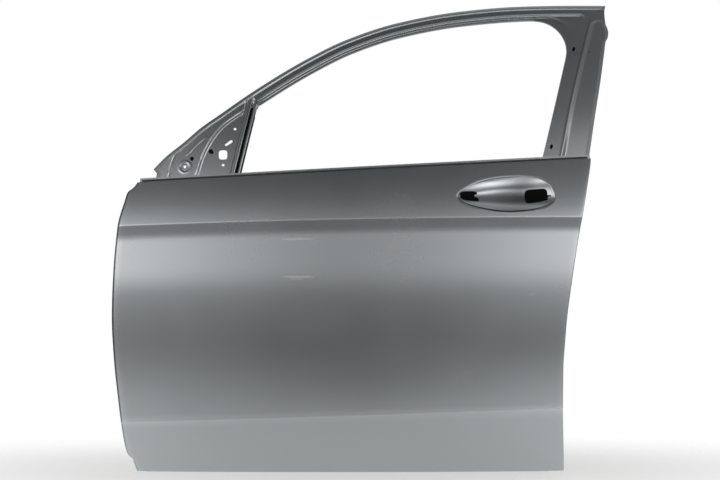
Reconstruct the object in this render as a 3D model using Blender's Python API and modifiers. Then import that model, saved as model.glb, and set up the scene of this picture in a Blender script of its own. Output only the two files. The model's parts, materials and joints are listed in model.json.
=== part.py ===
"""Front left car door shell, as bare painted sheet metal.

Every size is in metres. X runs to the rear of the car, Y runs into the cabin and Z runs up.
The skin's widest line lies at Y = 0 and its bottom edge at Z = 0, and the whole shell is then
moved so that the upper hinge face is the origin.
"""

import math

import bmesh
import bpy
from mathutils import Vector

# Sheets, welds and seats
SEAT_GAP = 0.0003
SKIN_SHEET = 0.0008
PANEL_SHEET = 0.0009
FRAME_SHEET = 0.0010
BRACKET_SHEET = 0.0015
HINGE_PLATE_SHEET = 0.0025
BRACE_SHEET = 0.0007
MIRROR_PLATE_SHEET = 0.0020

# Outline of the skin: the belt line, then the two end edges as (height, place along X)
BELT_FRONT_X = 0.057
BELT_FRONT_Z = 0.705
BELT_SLOPE = 0.0535
REAR_CORNER_X = 1.098
FRONT_EDGE = (
    (0.0, 0.0560),
    (0.024, 0.0487),
    (0.0335, 0.0450),
    (0.0385, 0.0380),
    (0.054, 0.0307),
    (0.105, 0.0220),
    (0.189, 0.0130),
    (0.282, 0.0045),
    (0.378, 0.0),
    (0.496, 0.0033),
    (0.5995, 0.0122),
    (BELT_FRONT_Z - 0.049, 0.0267),
    (BELT_FRONT_Z - 0.023, 0.0354),
    (BELT_FRONT_Z - 0.0145, 0.0470),
    (BELT_FRONT_Z - 0.0005, BELT_FRONT_X),
)
REAR_EDGE = (
    (0.0, REAR_CORNER_X),
    (0.072, REAR_CORNER_X - 0.0030),
    (0.177, REAR_CORNER_X - 0.0066),
    (0.2555, REAR_CORNER_X - 0.0067),
    (0.315, REAR_CORNER_X - 0.0030),
    (0.369, REAR_CORNER_X + 0.0014),
    (0.482, REAR_CORNER_X + 0.0170),
    (0.546, REAR_CORNER_X + 0.0276),
    (0.697, REAR_CORNER_X + 0.0564),
    (0.766, REAR_CORNER_X + 0.0690),
)

# Section of the skin, as slopes in degrees at heights, with the feature lines that cross it
PLAN_BOW = 0.022
PLAN_MIDDLE_X = 0.560
PLAN_HALF = 0.580
WIDEST_Z = 0.347
CREASE_FRONT_Z = 0.5978
CREASE_RISE = 0.0224
CREASE_FRONT_X = 0.012
CREASE_LENGTH = 1.128
STEP_FRONT_Z = 0.123
STEP_SLOPE = 0.0327
STEP_DEPTH = 0.0018
STEP_RUN = 0.006
TUCK_SLOPE = -17.0
SILL_SLOPE = -10.0
UNDERCUT_SLOPE = 8.0
CREASE_LOWER_SLOPE = -3.0
CREASE_UPPER_SLOPE = 12.0
BELT_SKIN_SLOPE = 20.0
FRONT_ROLL_WIDTH = 0.008
FRONT_ROLL_DEPTH = 0.0038
REAR_ROLL_WIDTH = 0.005
REAR_ROLL_DEPTH = 0.0010

# Hems: the skin's edge folded round the inner panel's flange
HEM_RETURN = 0.012
HEM_RADIUS = SKIN_SHEET + SEAT_GAP + PANEL_SHEET / 2
BELT_HEM_RADIUS = SKIN_SHEET + SEAT_GAP
BELT_HEM_RETURN = 0.007

# Handle recess: its outline about its centre, and its two openings
RECESS_X = 0.970
RECESS_Z = 0.675
RECESS_DEPTH = 0.024
RECESS_OUTLINE = (
    (-0.136, -0.003),
    (-0.102, 0.022),
    (-0.0645, 0.036),
    (-0.002, 0.044),
    (0.048, 0.042),
    (0.085, 0.0275),
    (0.099, 0.009),
    (0.104, -0.009),
    (0.093, -0.0236),
    (0.058, -0.037),
    (-0.004, -0.043),
    (-0.066, -0.0373),
    (-0.103, -0.0286),
    (-0.130, -0.016),
)
GRIP_OPENING = (
    (-0.1285, -0.002),
    (-0.1185, 0.007),
    (-0.0960, 0.009),
    (-0.0892, 0.0047),
    (-0.0925, 0.0015),
    (-0.0925, -0.004),
    (-0.0851, -0.0065),
    (-0.0827, -0.017),
    (-0.1163, -0.0141),
)
LOCK_OPENING = (
    (0.030, -0.011),
    (0.0387, 0.0117),
    (0.0811, 0.0162),
    (0.0858, 0.0093),
    (0.0858, -0.001),
    (0.0925, -0.001),
    (0.0925, -0.0045),
    (0.0853, -0.0045),
    (0.0853, -0.012),
    (0.0552, -0.0203),
    (0.034, -0.0208),
)

# Inner panel: a drawn pan with a flat face, a hinge wall in front and a latch wall behind
FACE_BOTTOM_Y = 0.096
FACE_LEAN = 0.053
HINGE_WALL_X = 0.045
HINGE_WALL_LOW_Z = 0.125
HINGE_WALL_HIGH_Z = BELT_FRONT_Z - 0.0550
HINGE_WALL_FOOT_X = 0.088
HINGE_WALL_TOP_X = 0.086
LATCH_WALL_X = 1.068
LATCH_WALL_BEND_Z = 0.380
LATCH_WALL_SLOPE = 0.181
PAN_CORNER = 0.009
FLANGE_WIDTH = 0.014
PAN_FLOOR_Z = 0.024
PAN_FLOOR_RISE = 0.006
SPEAKER_X = 0.262
SPEAKER_Z = 0.178
SPEAKER_DIAMETER = 0.168
SERVICE_HOLE = (
    (0.420, 0.215),
    (0.860, 0.215),
    (0.905, 0.330),
    (0.850, 0.500),
    (0.480, 0.500),
    (0.405, 0.360),
)
SERVICE_RADIUS = 0.045
FRONT_HOLE = (
    (0.150, 0.350),
    (0.330, 0.350),
    (0.345, 0.540),
    (0.175, 0.540),
)
FRONT_HOLE_RADIUS = 0.030
LATCH_HOLE = (
    (0.965, 0.380),
    (1.020, 0.380),
    (1.040, 0.560),
    (0.940, 0.560),
)
LATCH_HOLE_RADIUS = 0.022

# Hinges, check strap and latch
HINGE_UPPER_Z = 0.540
HINGE_LOWER_Z = 0.205
HINGE_FACE_HEIGHT = 0.110
HINGE_FACE_WIDTH = 0.056
HINGE_BOLT_SPACING = 0.056
HINGE_BOLT_HOLE = 0.011
CHECK_STRAP_Z = 0.360
CHECK_SLOT_HEIGHT = 0.040
CHECK_SLOT_WIDTH = 0.018
GROMMET_Z = 0.295
GROMMET_DIAMETER = 0.032
LATCH_Z = 0.530
LATCH_SLOT_HEIGHT = 0.062
LATCH_SLOT_WIDTH = 0.022
LATCH_SCREW_HOLE = 0.0075
HINGE_PLATE_REACH = 0.060
STRAP_PLATE_HEIGHT = 0.070
STRAP_PLATE_REACH = 0.030
LATCH_PLATE_BELOW = 0.080
LATCH_PLATE_ABOVE = 0.070
LATCH_PLATE_REACH = 0.050
LATCH_PLATE_OUT = 0.032
NUT_WIDTH = 0.018
NUT_HEIGHT = 0.009
NUT_BORE = 0.0088

# Window frame: its surface leans in from the belt, and its outline is (place along X, height)
FRAME_SET_IN = 0.080
FRAME_LEAN = 0.22
FRAME_CURVE = 0.385
ROOF_LINE = (
    (0.0932, BELT_FRONT_Z + 0.0323),
    (0.1226, BELT_FRONT_Z + 0.0629),
    (0.1659, BELT_FRONT_Z + 0.0984),
    (0.2090, BELT_FRONT_Z + 0.1364),
    (0.2525, BELT_FRONT_Z + 0.1677),
    (0.3414, BELT_FRONT_Z + 0.2311),
    (0.4636, BELT_FRONT_Z + 0.3078),
    (0.5637, BELT_FRONT_Z + 0.3594),
    (0.6918, BELT_FRONT_Z + 0.4039),
    (0.8554, BELT_FRONT_Z + 0.4356),
    (1.0046, BELT_FRONT_Z + 0.4490),
    (1.1063, BELT_FRONT_Z + 0.4519),
    (1.2226, BELT_FRONT_Z + 0.4527),
)
PILLAR_EDGE = (
    (BELT_FRONT_Z - 0.0650, 1.1370),
    (BELT_FRONT_Z + 0.0705, 1.1643),
    (BELT_FRONT_Z + 0.1523, 1.1785),
    (BELT_FRONT_Z + 0.2570, 1.1988),
    (BELT_FRONT_Z + 0.3273, 1.2115),
    (BELT_FRONT_Z + 0.3822, 1.2250),
    (BELT_FRONT_Z + 0.4224, 1.2180),
    (BELT_FRONT_Z + 0.4527, 1.2226),
)
HEADER_WIDTH = 0.039
PILLAR_WINDOW_X = 1.0516
PILLAR_WINDOW_Z = BELT_FRONT_Z + 0.0707
PILLAR_LEAN = 0.2607
WINDOW_CORNER = 0.058
DIVISION_X = 0.311
DIVISION_Z = BELT_FRONT_Z + 0.0310
DIVISION_LEAN = 0.226
WINDOW_RETURN = 0.014
FRAME_BOX_DEPTH = 0.030
FRAME_FLANGE = 0.009
SAIL_DEPTH = 0.0035
SAIL_RIB_HEIGHT = 0.0030
PILLAR_RECESS = 0.0020

# Glass guides and belt rails
GUIDE_WIDTH = 0.014
GUIDE_LEG = 0.012
GUIDE_END_Z = 0.330
GUIDE_SHEET = 0.0010
BELT_LEDGE = 0.009
BELT_LEDGE_INSET = 0.008
BELT_RAIL_DROP = 0.030
INNER_RAIL_DEPTH = 0.020

# Side impact beam
BEAM_DIAMETER = 0.034
BEAM_WALL = 0.0025
BEAM_FRONT_Y = 0.040
BEAM_REAR_Y = 0.046
BEAM_FRONT_Z = 0.445
BEAM_REAR_Z = 0.215

NAME = "car_door_shell"


def curve_through(points):
    """A smooth curve through (position, value) pairs that never overshoots them."""
    knots = sorted(points)
    count = len(knots)
    steps = [knots[k + 1][0] - knots[k][0] for k in range(count - 1)]
    rises = [(knots[k + 1][1] - knots[k][1]) / steps[k] for k in range(count - 1)]
    slopes = [rises[0]]
    for k in range(1, count - 1):
        if rises[k - 1] * rises[k] <= 0.0:
            slopes.append(0.0)
        else:
            first = 2.0 * steps[k] + steps[k - 1]
            second = steps[k] + 2.0 * steps[k - 1]
            slopes.append((first + second) / (first / rises[k - 1] + second / rises[k]))
    slopes.append(rises[-1])

    def value(position):
        if position <= knots[0][0]:
            return knots[0][1] + slopes[0] * (position - knots[0][0])
        if position >= knots[-1][0]:
            return knots[-1][1] + slopes[-1] * (position - knots[-1][0])
        k = 0
        while position > knots[k + 1][0]:
            k += 1
        t = (position - knots[k][0]) / steps[k]
        return (
            knots[k][1] * (1 + 2 * t) * (1 - t) ** 2
            + slopes[k] * steps[k] * t * (1 - t) ** 2
            + knots[k + 1][1] * t * t * (3 - 2 * t)
            - slopes[k + 1] * steps[k] * t * t * (1 - t)
        )

    return value


def straight_through(points):
    """Straight runs through (position, value) pairs."""
    knots = sorted(points)

    def value(position):
        k = 0
        while k < len(knots) - 2 and position > knots[k + 1][0]:
            k += 1
        (start, first), (end, second) = knots[k], knots[k + 1]
        return first + (second - first) * (position - start) / (end - start)

    return value


def mix(first, second, share):
    return first + (second - first) * share


front_edge = curve_through(FRONT_EDGE)
rear_edge = curve_through(REAR_EDGE)
roof_line = curve_through(ROOF_LINE)
pillar_edge = curve_through(PILLAR_EDGE)
hinge_wall = straight_through((
    (PAN_FLOOR_Z, HINGE_WALL_FOOT_X),
    (HINGE_WALL_LOW_Z, HINGE_WALL_X),
    (HINGE_WALL_HIGH_Z, HINGE_WALL_X),
    (BELT_FRONT_Z, HINGE_WALL_TOP_X),
))


def latch_wall(z):
    return LATCH_WALL_X + LATCH_WALL_SLOPE * max(0.0, z - LATCH_WALL_BEND_Z)


def bow(x):
    return PLAN_BOW * ((x - PLAN_MIDDLE_X) / PLAN_HALF) ** 2


def belt_line(x):
    return BELT_FRONT_Z + BELT_SLOPE * (x - BELT_FRONT_X)


def crease_line(x):
    share = min(max((x - CREASE_FRONT_X) / CREASE_LENGTH, 0.0), 1.0)
    return CREASE_FRONT_Z + CREASE_RISE * (1.0 - (1.0 - share) ** 2)


def step_line(x):
    return STEP_FRONT_Z + STEP_SLOPE * x


def section_slopes(x):
    """The skin's slope, in degrees from upright, at the heights where it changes."""
    crease = crease_line(x)
    return (
        (0.0, TUCK_SLOPE),
        (0.031, mix(TUCK_SLOPE, SILL_SLOPE, 0.45)),
        (step_line(x), SILL_SLOPE),
        (WIDEST_Z, 0.0),
        (WIDEST_Z + 0.087, UNDERCUT_SLOPE * 0.3),
        (crease - 0.100, UNDERCUT_SLOPE),
        (crease - 0.042, UNDERCUT_SLOPE),
        (crease - 0.020, mix(CREASE_LOWER_SLOPE, UNDERCUT_SLOPE, 0.1)),
        (crease, CREASE_LOWER_SLOPE),
        (crease + 0.00001, CREASE_UPPER_SLOPE),
        (crease + 0.030, mix(CREASE_UPPER_SLOPE, BELT_SKIN_SLOPE, 0.25)),
        (belt_line(x), BELT_SKIN_SLOPE),
    )


def climb(knots, z):
    """How far the section has moved inboard from its lowest knot to the height z."""
    total = 0.0
    last = len(knots) - 2
    for k in range(last + 1):
        (low, first), (high, second) = knots[k], knots[k + 1]
        top = z if k == last else min(z, high)
        if k == 0 and z < low:
            return (z - low) * math.tan(math.radians(first))
        if top <= low:
            break
        start = math.radians(first)
        end = start + math.radians(second - first) * (top - low) / (high - low)
        if abs(end - start) < 1e-9:
            total += (top - low) * math.tan(start)
        else:
            total += (top - low) * (math.log(math.cos(start)) - math.log(math.cos(end))) / (end - start)
    return total


def skin_y(x, z):
    """The outer face of the skin."""
    knots = section_slopes(x)
    y = climb(knots, z) - climb(knots, WIDEST_Z) + bow(x)
    step = min(max((step_line(x) - z) / STEP_RUN, 0.0), 1.0)
    y += STEP_DEPTH * step * step * (3 - 2 * step)
    front = max(0.0, 1.0 - (x - front_edge(z)) / FRONT_ROLL_WIDTH)
    rear = max(0.0, 1.0 - (rear_edge(z) - x) / REAR_ROLL_WIDTH)
    return y + FRONT_ROLL_DEPTH * front ** 2 + REAR_ROLL_DEPTH * rear ** 2


def skin_inward(x, z):
    """The direction that points into the door, square to the skin."""
    reach = 0.0008
    along = (skin_y(x + reach, z) - skin_y(x - reach, z)) / (2 * reach)
    up = (skin_y(x, z + reach) - skin_y(x, z - reach)) / (2 * reach)
    return Vector((-along, 1.0, -up)).normalized()


def skin_point(x, z, depth=0.0):
    point = Vector((x, skin_y(x, z), z))
    if depth:
        point += skin_inward(x, z) * depth
    return point


def frame_y(x, z):
    """The base surface of the window frame, which carries on down inside the door."""
    rise = z - belt_line(x)
    return FRAME_SET_IN + FRAME_LEAN * rise + FRAME_CURVE * rise * rise + bow(x)


def face_y(z):
    """The cavity side of the inner panel's flat face."""
    return FACE_BOTTOM_Y + FACE_LEAN * z


def division_line(z):
    return DIVISION_X + DIVISION_LEAN * (z - DIVISION_Z)


def window_line(z):
    return PILLAR_WINDOW_X + PILLAR_LEAN * (z - PILLAR_WINDOW_Z)


# The skin's rows follow its feature lines, so that each of them is a row of edges
ROWS_BELOW_CREASE = (0.100, 0.070, 0.042, 0.031, 0.020, 0.010)
RECESS_BOTTOM_GAP = 0.008
RECESS_TOP_GAP = 0.014
EDGE_ROWS = (0.014, 0.024, 0.0335, 0.0385, 0.054, 0.086)


def row_heights(x):
    step = step_line(x)
    crease = crease_line(x)
    belt = belt_line(x)
    rows = [HEM_RADIUS]
    rows += EDGE_ROWS
    rows += [step - STEP_RUN, step]
    rows += [mix(step, WIDEST_Z, k / 5) for k in range(1, 5)]
    rows.append(WIDEST_Z)
    rows += [mix(WIDEST_Z, crease - ROWS_BELOW_CREASE[0], k / 3) for k in (1, 2)]
    rows += [crease - drop for drop in ROWS_BELOW_CREASE]
    rows.append(crease)
    low = crease + RECESS_BOTTOM_GAP
    high = belt - 0.023
    rows += [mix(low, high, k / 4) for k in range(5)]
    rows += [belt - RECESS_TOP_GAP, belt - BELT_HEM_RADIUS]
    return rows


ROW_COUNT = len(row_heights(PLAN_MIDDLE_X))
RECESS_ROWS = (ROW_COUNT - 7, ROW_COUNT - 2)
STEP_ROW = len(EDGE_ROWS) + 2
CREASE_ROW = ROW_COUNT - 8

# The skin's columns: rolled edges at set distances, and shares of the length between them
FRONT_COLUMNS = (HEM_RADIUS, FRONT_ROLL_WIDTH / 2, FRONT_ROLL_WIDTH)
REAR_COLUMNS = (REAR_ROLL_WIDTH, HEM_RADIUS)
PLAIN_SHARES = (0.08, 0.16, 0.24, 0.32, 0.40, 0.48, 0.56, 0.635)
RECESS_CELLS = 8
RECESS_SHARES = tuple(0.705 + 0.240 * k / RECESS_CELLS for k in range(RECESS_CELLS + 1))
LAST_SHARES = (0.975,)
SHARES = PLAIN_SHARES + RECESS_SHARES + LAST_SHARES
COLUMN_COUNT = len(FRONT_COLUMNS) + len(SHARES) + len(REAR_COLUMNS)
FIRST_RECESS_COLUMN = len(FRONT_COLUMNS) + len(PLAIN_SHARES)
RECESS_COLUMNS = (FIRST_RECESS_COLUMN, FIRST_RECESS_COLUMN + RECESS_CELLS)


def column_x(column, z):
    if column < len(FRONT_COLUMNS):
        return front_edge(z) + FRONT_COLUMNS[column]
    column -= len(FRONT_COLUMNS)
    if column < len(SHARES):
        return mix(front_edge(z) + FRONT_ROLL_WIDTH, rear_edge(z) - REAR_ROLL_WIDTH, SHARES[column])
    return rear_edge(z) - REAR_COLUMNS[column - len(SHARES)]


def grid_place(column, row):
    """Where a column and a row of the skin cross, seen from the side."""
    x = PLAN_MIDDLE_X
    for _ in range(6):
        z = row_heights(x)[row]
        x = column_x(column, z)
    return x, z


PLACES = {
    (column, row): grid_place(column, row)
    for column in range(COLUMN_COUNT)
    for row in range(ROW_COUNT)
}


def clear_scene():
    for item in list(bpy.data.objects):
        bpy.data.objects.remove(item, do_unlink=True)


def make_collection(name):
    collection = bpy.data.collections.new(name)
    bpy.context.scene.collection.children.link(collection)
    return collection


def make_material(name, colour, roughness, metallic):
    material = bpy.data.materials.new(name)
    material.use_nodes = True
    shader = material.node_tree.nodes["Principled BSDF"]
    shader.inputs["Base Color"].default_value = (*colour, 1.0)
    shader.inputs["Roughness"].default_value = roughness
    shader.inputs["Metallic"].default_value = metallic
    return material


clear_scene()
PARTS = make_collection(NAME)
CUTTERS = make_collection(NAME + "_cutters")
SILVER_PAINT = make_material("silver_paint", (0.42, 0.44, 0.45), 0.34, 0.75)
SHADED_PAINT = make_material("shaded_paint", (0.30, 0.32, 0.33), 0.42, 0.70)
BEAM_STEEL = make_material("beam_steel", (0.33, 0.34, 0.35), 0.45, 0.80)
NUT_STEEL = make_material("nut_steel", (0.55, 0.55, 0.56), 0.35, 1.0)
ROOT = bpy.data.objects.new(NAME + "_origin", None)
PARTS.objects.link(ROOT)


def add_object(name, mesh, material, angle=30.0):
    mesh.shade_smooth()
    mesh.set_sharp_from_angle(angle=math.radians(angle))
    item = bpy.data.objects.new(name, mesh)
    item.data.materials.clear()
    item.data.materials.append(material)
    PARTS.objects.link(item)
    item.parent = ROOT
    return item


def finish_mesh(name, bm):
    bmesh.ops.recalc_face_normals(bm, faces=bm.faces)
    mesh = bpy.data.meshes.new(name)
    bm.to_mesh(mesh)
    bm.free()
    return mesh


def add_solidify(item, thickness, offset=-1.0):
    sheet = item.modifiers.new("sheet", "SOLIDIFY")
    sheet.thickness = thickness
    sheet.offset = offset
    sheet.use_even_offset = True
    sheet.use_quality_normals = True
    return sheet


def grid_mesh(columns, rows, place, extra=None):
    """A grid whose points are moved to place(column, row); points it returns None for are left out."""
    bm = bmesh.new()
    bmesh.ops.create_grid(bm, x_segments=columns - 1, y_segments=rows - 1, size=1.0)
    points = {}
    unused = []
    for vert in bm.verts:
        column = round((vert.co.x + 1.0) / 2.0 * (columns - 1))
        row = round((vert.co.y + 1.0) / 2.0 * (rows - 1))
        spot = place(column, row)
        if spot is None:
            unused.append(vert)
        else:
            vert.co = spot
            points[(column, row)] = vert
    bmesh.ops.delete(bm, geom=unused, context="VERTS")
    if extra:
        extra(bm, points)
    return bm


def add_sheet(name, columns, rows, place, thickness, material, offset=-1.0, extra=None):
    """A pressed sheet: its outer face as a grid, thickened away from its outer side."""
    bm = grid_mesh(columns, rows, place, extra)
    mesh = bpy.data.meshes.new(name)
    bm.to_mesh(mesh)
    bm.free()
    item = add_object(name, mesh, material)
    add_solidify(item, thickness, offset)
    return item


def rounded(points, radius, steps=3):
    """A closed outline with each corner rounded."""
    result = []
    count = len(points)
    for k in range(count):
        corner = Vector(points[k])
        before = (Vector(points[k - 1]) - corner).normalized()
        after = (Vector(points[(k + 1) % count]) - corner).normalized()
        half = before.angle(after) / 2
        reach = radius / math.tan(half)
        centre = corner + (before + after).normalized() * radius / math.sin(half)
        start = corner + before * reach - centre
        end = corner + after * reach - centre
        for n in range(steps + 1):
            share = n / steps
            spoke = (start * (1 - share) + end * share).normalized() * radius
            result.append(tuple(centre + spoke))
    return result


def circle(x, z, diameter, sides=16):
    """A round hole's outline, of the diameter across its flats."""
    radius = diameter / 2 / math.cos(math.pi / sides)
    turns = [2 * math.pi * (k + 0.5) / sides for k in range(sides)]
    return [(x + radius * math.cos(turn), z + radius * math.sin(turn)) for turn in turns]


def prism_mesh(name, outline, low, high, axis="Y"):
    """A flat outline drawn out from low to high along Y, X or Z."""
    bm = bmesh.new()
    verts = []
    for first, second in outline:
        if axis == "Y":
            verts.append(bm.verts.new((first, low, second)))
        elif axis == "X":
            verts.append(bm.verts.new((low, first, second)))
        else:
            verts.append(bm.verts.new((first, second, low)))
    face = bm.faces.new(verts)
    drawn = bmesh.ops.extrude_face_region(bm, geom=[face])
    top = [part for part in drawn["geom"] if isinstance(part, bmesh.types.BMVert)]
    shift = {"Y": (0, high - low, 0), "X": (high - low, 0, 0), "Z": (0, 0, high - low)}[axis]
    bmesh.ops.translate(bm, verts=top, vec=shift)
    return finish_mesh(name, bm)


def cut(item, name, outline, low, high, axis="Y"):
    """Cut an outline through a piece."""
    tool = bpy.data.objects.new(name, prism_mesh(name, outline, low, high, axis))
    CUTTERS.objects.link(tool)
    tool.parent = ROOT
    tool.hide_render = True
    tool.display_type = "WIRE"
    knife = item.modifiers.new(name, "BOOLEAN")
    knife.operation = "DIFFERENCE"
    knife.solver = "EXACT"
    knife.object = tool
    return tool


def hem_points(place, radius, distances):
    """The outer face of a folded edge, from its fold to the end of its return.

    place(distance, depth) gives the point at a distance in from the outline and a depth below
    the outer face.
    """
    start = place(radius, 0.0)
    centre = place(radius, radius)
    inward = (centre - start).normalized()
    along = (place(radius + 0.0015, 0.0) - start)
    along = (along - inward * along.dot(inward)).normalized()
    points = []
    for turn in (45.0, 90.0, 135.0):
        angle = math.radians(turn)
        points.append(centre - inward * radius * math.cos(angle) - along * radius * math.sin(angle))
    for distance in distances:
        points.append(place(distance, 2 * radius))
    return points


FRONT_HEM = (HEM_RADIUS, FRONT_ROLL_WIDTH / 2, FRONT_ROLL_WIDTH, HEM_RETURN)
PLAIN_HEM = (HEM_RADIUS, HEM_RETURN)
REAR_HEM = (HEM_RADIUS, REAR_ROLL_WIDTH, HEM_RETURN)
BELT_HEM = (BELT_HEM_RADIUS, BELT_HEM_RETURN)


def front_hem(row):
    x, z = PLACES[(0, row)]
    edge = front_edge(z)
    return hem_points(lambda d, depth: skin_point(edge + d, z, depth), HEM_RADIUS, FRONT_HEM)


def rear_hem(row):
    x, z = PLACES[(COLUMN_COUNT - 1, row)]
    edge = rear_edge(z)
    return hem_points(lambda d, depth: skin_point(edge - d, z, depth), HEM_RADIUS, REAR_HEM)


def bottom_hem(column):
    x, z = PLACES[(column, 0)]
    return hem_points(lambda d, depth: skin_point(x, d, depth), HEM_RADIUS, PLAIN_HEM)


def belt_hem(column):
    x, z = PLACES[(column, ROW_COUNT - 1)]
    edge = belt_line(x)
    return hem_points(lambda d, depth: skin_point(x, edge - d, depth), BELT_HEM_RADIUS, BELT_HEM)


HEM_FRONT_COUNT = 3 + len(FRONT_HEM)
HEM_REAR_COUNT = 3 + len(REAR_HEM)
HEM_BOTTOM_COUNT = 3 + len(PLAIN_HEM)
HEM_BELT_COUNT = 3 + len(BELT_HEM)
HEM_FIRST_ROW = 1
HEM_LAST_ROW = ROW_COUNT - 3
BOTTOM_HEM_COLUMNS = (3, COLUMN_COUNT - 4)
BELT_HEM_COLUMNS = (1, COLUMN_COUNT - 2)


def skin_place(column, row):
    """Points of the skin's outer face, its four hems included."""
    column -= HEM_FRONT_COUNT
    row -= HEM_BOTTOM_COUNT
    inside_rows = 0 <= row < ROW_COUNT
    inside_columns = 0 <= column < COLUMN_COUNT
    if inside_rows and inside_columns:
        in_recess = RECESS_COLUMNS[0] < column < RECESS_COLUMNS[1]
        if in_recess and RECESS_ROWS[0] < row < RECESS_ROWS[1]:
            return None
        return skin_point(*PLACES[(column, row)])
    if inside_rows and HEM_FIRST_ROW <= row <= HEM_LAST_ROW:
        if column < 0:
            return front_hem(row)[-column - 1]
        return rear_hem(row)[column - COLUMN_COUNT]
    if inside_columns and row < 0:
        if BOTTOM_HEM_COLUMNS[0] <= column <= BOTTOM_HEM_COLUMNS[1]:
            return bottom_hem(column)[-row - 1]
    if inside_columns and row >= ROW_COUNT:
        if BELT_HEM_COLUMNS[0] <= column <= BELT_HEM_COLUMNS[1]:
            return belt_hem(column)[row - ROW_COUNT]
    return None


def recess_reach(turn):
    """How far the recess's outline lies from its centre in a direction."""
    knots = sorted((math.atan2(z, x), math.hypot(x, z)) for x, z in RECESS_OUTLINE)
    around = [(a - 2 * math.pi, r) for a, r in knots[-3:]]
    around += knots
    around += [(a + 2 * math.pi, r) for a, r in knots[:3]]
    return curve_through(around)(turn)


RECESS_RINGS = (1.0, 0.97, 0.88, 0.72, 0.50, 0.25)


def recess_point(turn, share):
    reach = recess_reach(turn) * share
    x = RECESS_X + reach * math.cos(turn)
    z = RECESS_Z + reach * math.sin(turn)
    return skin_point(x, z) + Vector((0.0, RECESS_DEPTH * (1.0 - share ** 2.6), 0.0))


def add_recess(bm, points):
    """Loft the handle recess into the gap left in the skin's grid."""
    first_column = RECESS_COLUMNS[0] + HEM_FRONT_COUNT
    last_column = RECESS_COLUMNS[1] + HEM_FRONT_COUNT
    first_row = RECESS_ROWS[0] + HEM_BOTTOM_COUNT
    last_row = RECESS_ROWS[1] + HEM_BOTTOM_COUNT
    border = [(c, first_row) for c in range(first_column, last_column)]
    border += [(last_column, r) for r in range(first_row, last_row)]
    border += [(c, last_row) for c in range(last_column, first_column, -1)]
    border += [(first_column, r) for r in range(last_row, first_row, -1)]
    outer = [points[key] for key in border]
    turns = [math.atan2(v.co.z - RECESS_Z, v.co.x - RECESS_X) for v in outer]
    inside = [face for face in bm.faces if all(vert in outer for vert in face.verts)]
    bmesh.ops.delete(bm, geom=inside, context="FACES_ONLY")
    for share in RECESS_RINGS:
        ring = [bm.verts.new(recess_point(turn, share)) for turn in turns]
        for k in range(len(ring)):
            n = (k + 1) % len(ring)
            bm.faces.new((outer[k], outer[n], ring[n], ring[k]))
        outer = ring
    middle = bm.verts.new(recess_point(0.0, 0.0))
    for k in range(len(outer)):
        bm.faces.new((outer[k], outer[(k + 1) % len(outer)], middle))


def make_outer_skin():
    skin = add_sheet(
        "outer_skin",
        COLUMN_COUNT + HEM_FRONT_COUNT + HEM_REAR_COUNT,
        ROW_COUNT + HEM_BOTTOM_COUNT + HEM_BELT_COUNT,
        skin_place,
        SKIN_SHEET,
        SILVER_PAINT,
        extra=add_recess,
    )
    for name, outline in (("grip_opening", GRIP_OPENING), ("lock_opening", LOCK_OPENING)):
        placed = [(RECESS_X + x, RECESS_Z + z) for x, z in outline]
        cut(skin, name, placed, 0.0, 0.140)
    return skin


# Inner panel: kinds of place on the pan, from its flange to its flat face
FLANGE, FOOT, CORNER, FACE = range(4)
FOOT_RISE = 0.006
PAN_FRONT = (
    (HEM_RADIUS, FLANGE),
    (FRONT_ROLL_WIDTH / 2, FLANGE),
    (FRONT_ROLL_WIDTH, FLANGE),
    (FLANGE_WIDTH, FLANGE),
)
PAN_REAR = (
    (FLANGE_WIDTH, FLANGE),
    (REAR_ROLL_WIDTH, FLANGE),
    (HEM_RADIUS, FLANGE),
)
PAN_CELLS = 12
PAN_SHARES = tuple(k / PAN_CELLS for k in range(PAN_CELLS + 1))
PAN_COLUMNS = len(PAN_FRONT) + 2 + len(PAN_SHARES) + 2 + len(PAN_REAR)
PAN_ROWS = ROW_COUNT
PAN_TOP_GAP = 0.002
PAN_DEPTH = SKIN_SHEET + SEAT_GAP


def pan_column(column, z):
    """The place along X of a column of the pan, and what kind of place it is."""
    if column < len(PAN_FRONT):
        distance, kind = PAN_FRONT[column]
        return front_edge(z) + distance, kind
    column -= len(PAN_FRONT)
    if column < 2:
        return hinge_wall(z), (FOOT, CORNER)[column]
    column -= 2
    if column < len(PAN_SHARES):
        first = hinge_wall(z) + PAN_CORNER
        last = latch_wall(z) - PAN_CORNER
        return mix(first, last, PAN_SHARES[column]), FACE
    column -= len(PAN_SHARES)
    if column < 2:
        return latch_wall(z), (CORNER, FOOT)[column]
    distance, kind = PAN_REAR[column - 2]
    return rear_edge(z) - distance, kind


def pan_row(row, x, kind):
    """The height of a row of the pan, and what kind of place it is."""
    heights = row_heights(x)
    if row == PAN_ROWS - 1:
        return belt_line(x) - PAN_TOP_GAP, FACE
    if row < 2:
        return heights[row], FLANGE
    if kind == FLANGE or row > 4:
        return heights[row], FACE
    floor = PAN_FLOOR_Z + PAN_FLOOR_RISE
    return ((PAN_FLOOR_Z, FOOT), (floor, CORNER), (floor + PAN_CORNER, FACE))[row - 2]


def pan_point(column, row):
    x = PLAN_MIDDLE_X
    z = WIDEST_Z
    for _ in range(6):
        x, across = pan_column(column, z)
        z, upward = pan_row(row, x, across)
    kind = min(across, upward)
    if row == PAN_ROWS - 1 and across < FACE:
        return None
    if across == CORNER and upward <= FOOT:
        x += PAN_CORNER / 3 if x < PLAN_MIDDLE_X else -PAN_CORNER / 3
    if kind == FLANGE:
        return skin_point(x, z, PAN_DEPTH)
    if kind == FOOT:
        return Vector((x, skin_y(x, z) + PAN_DEPTH + FOOT_RISE, z))
    if kind == CORNER:
        return Vector((x, face_y(z) - PAN_CORNER, z))
    return Vector((x, face_y(z), z))


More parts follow.
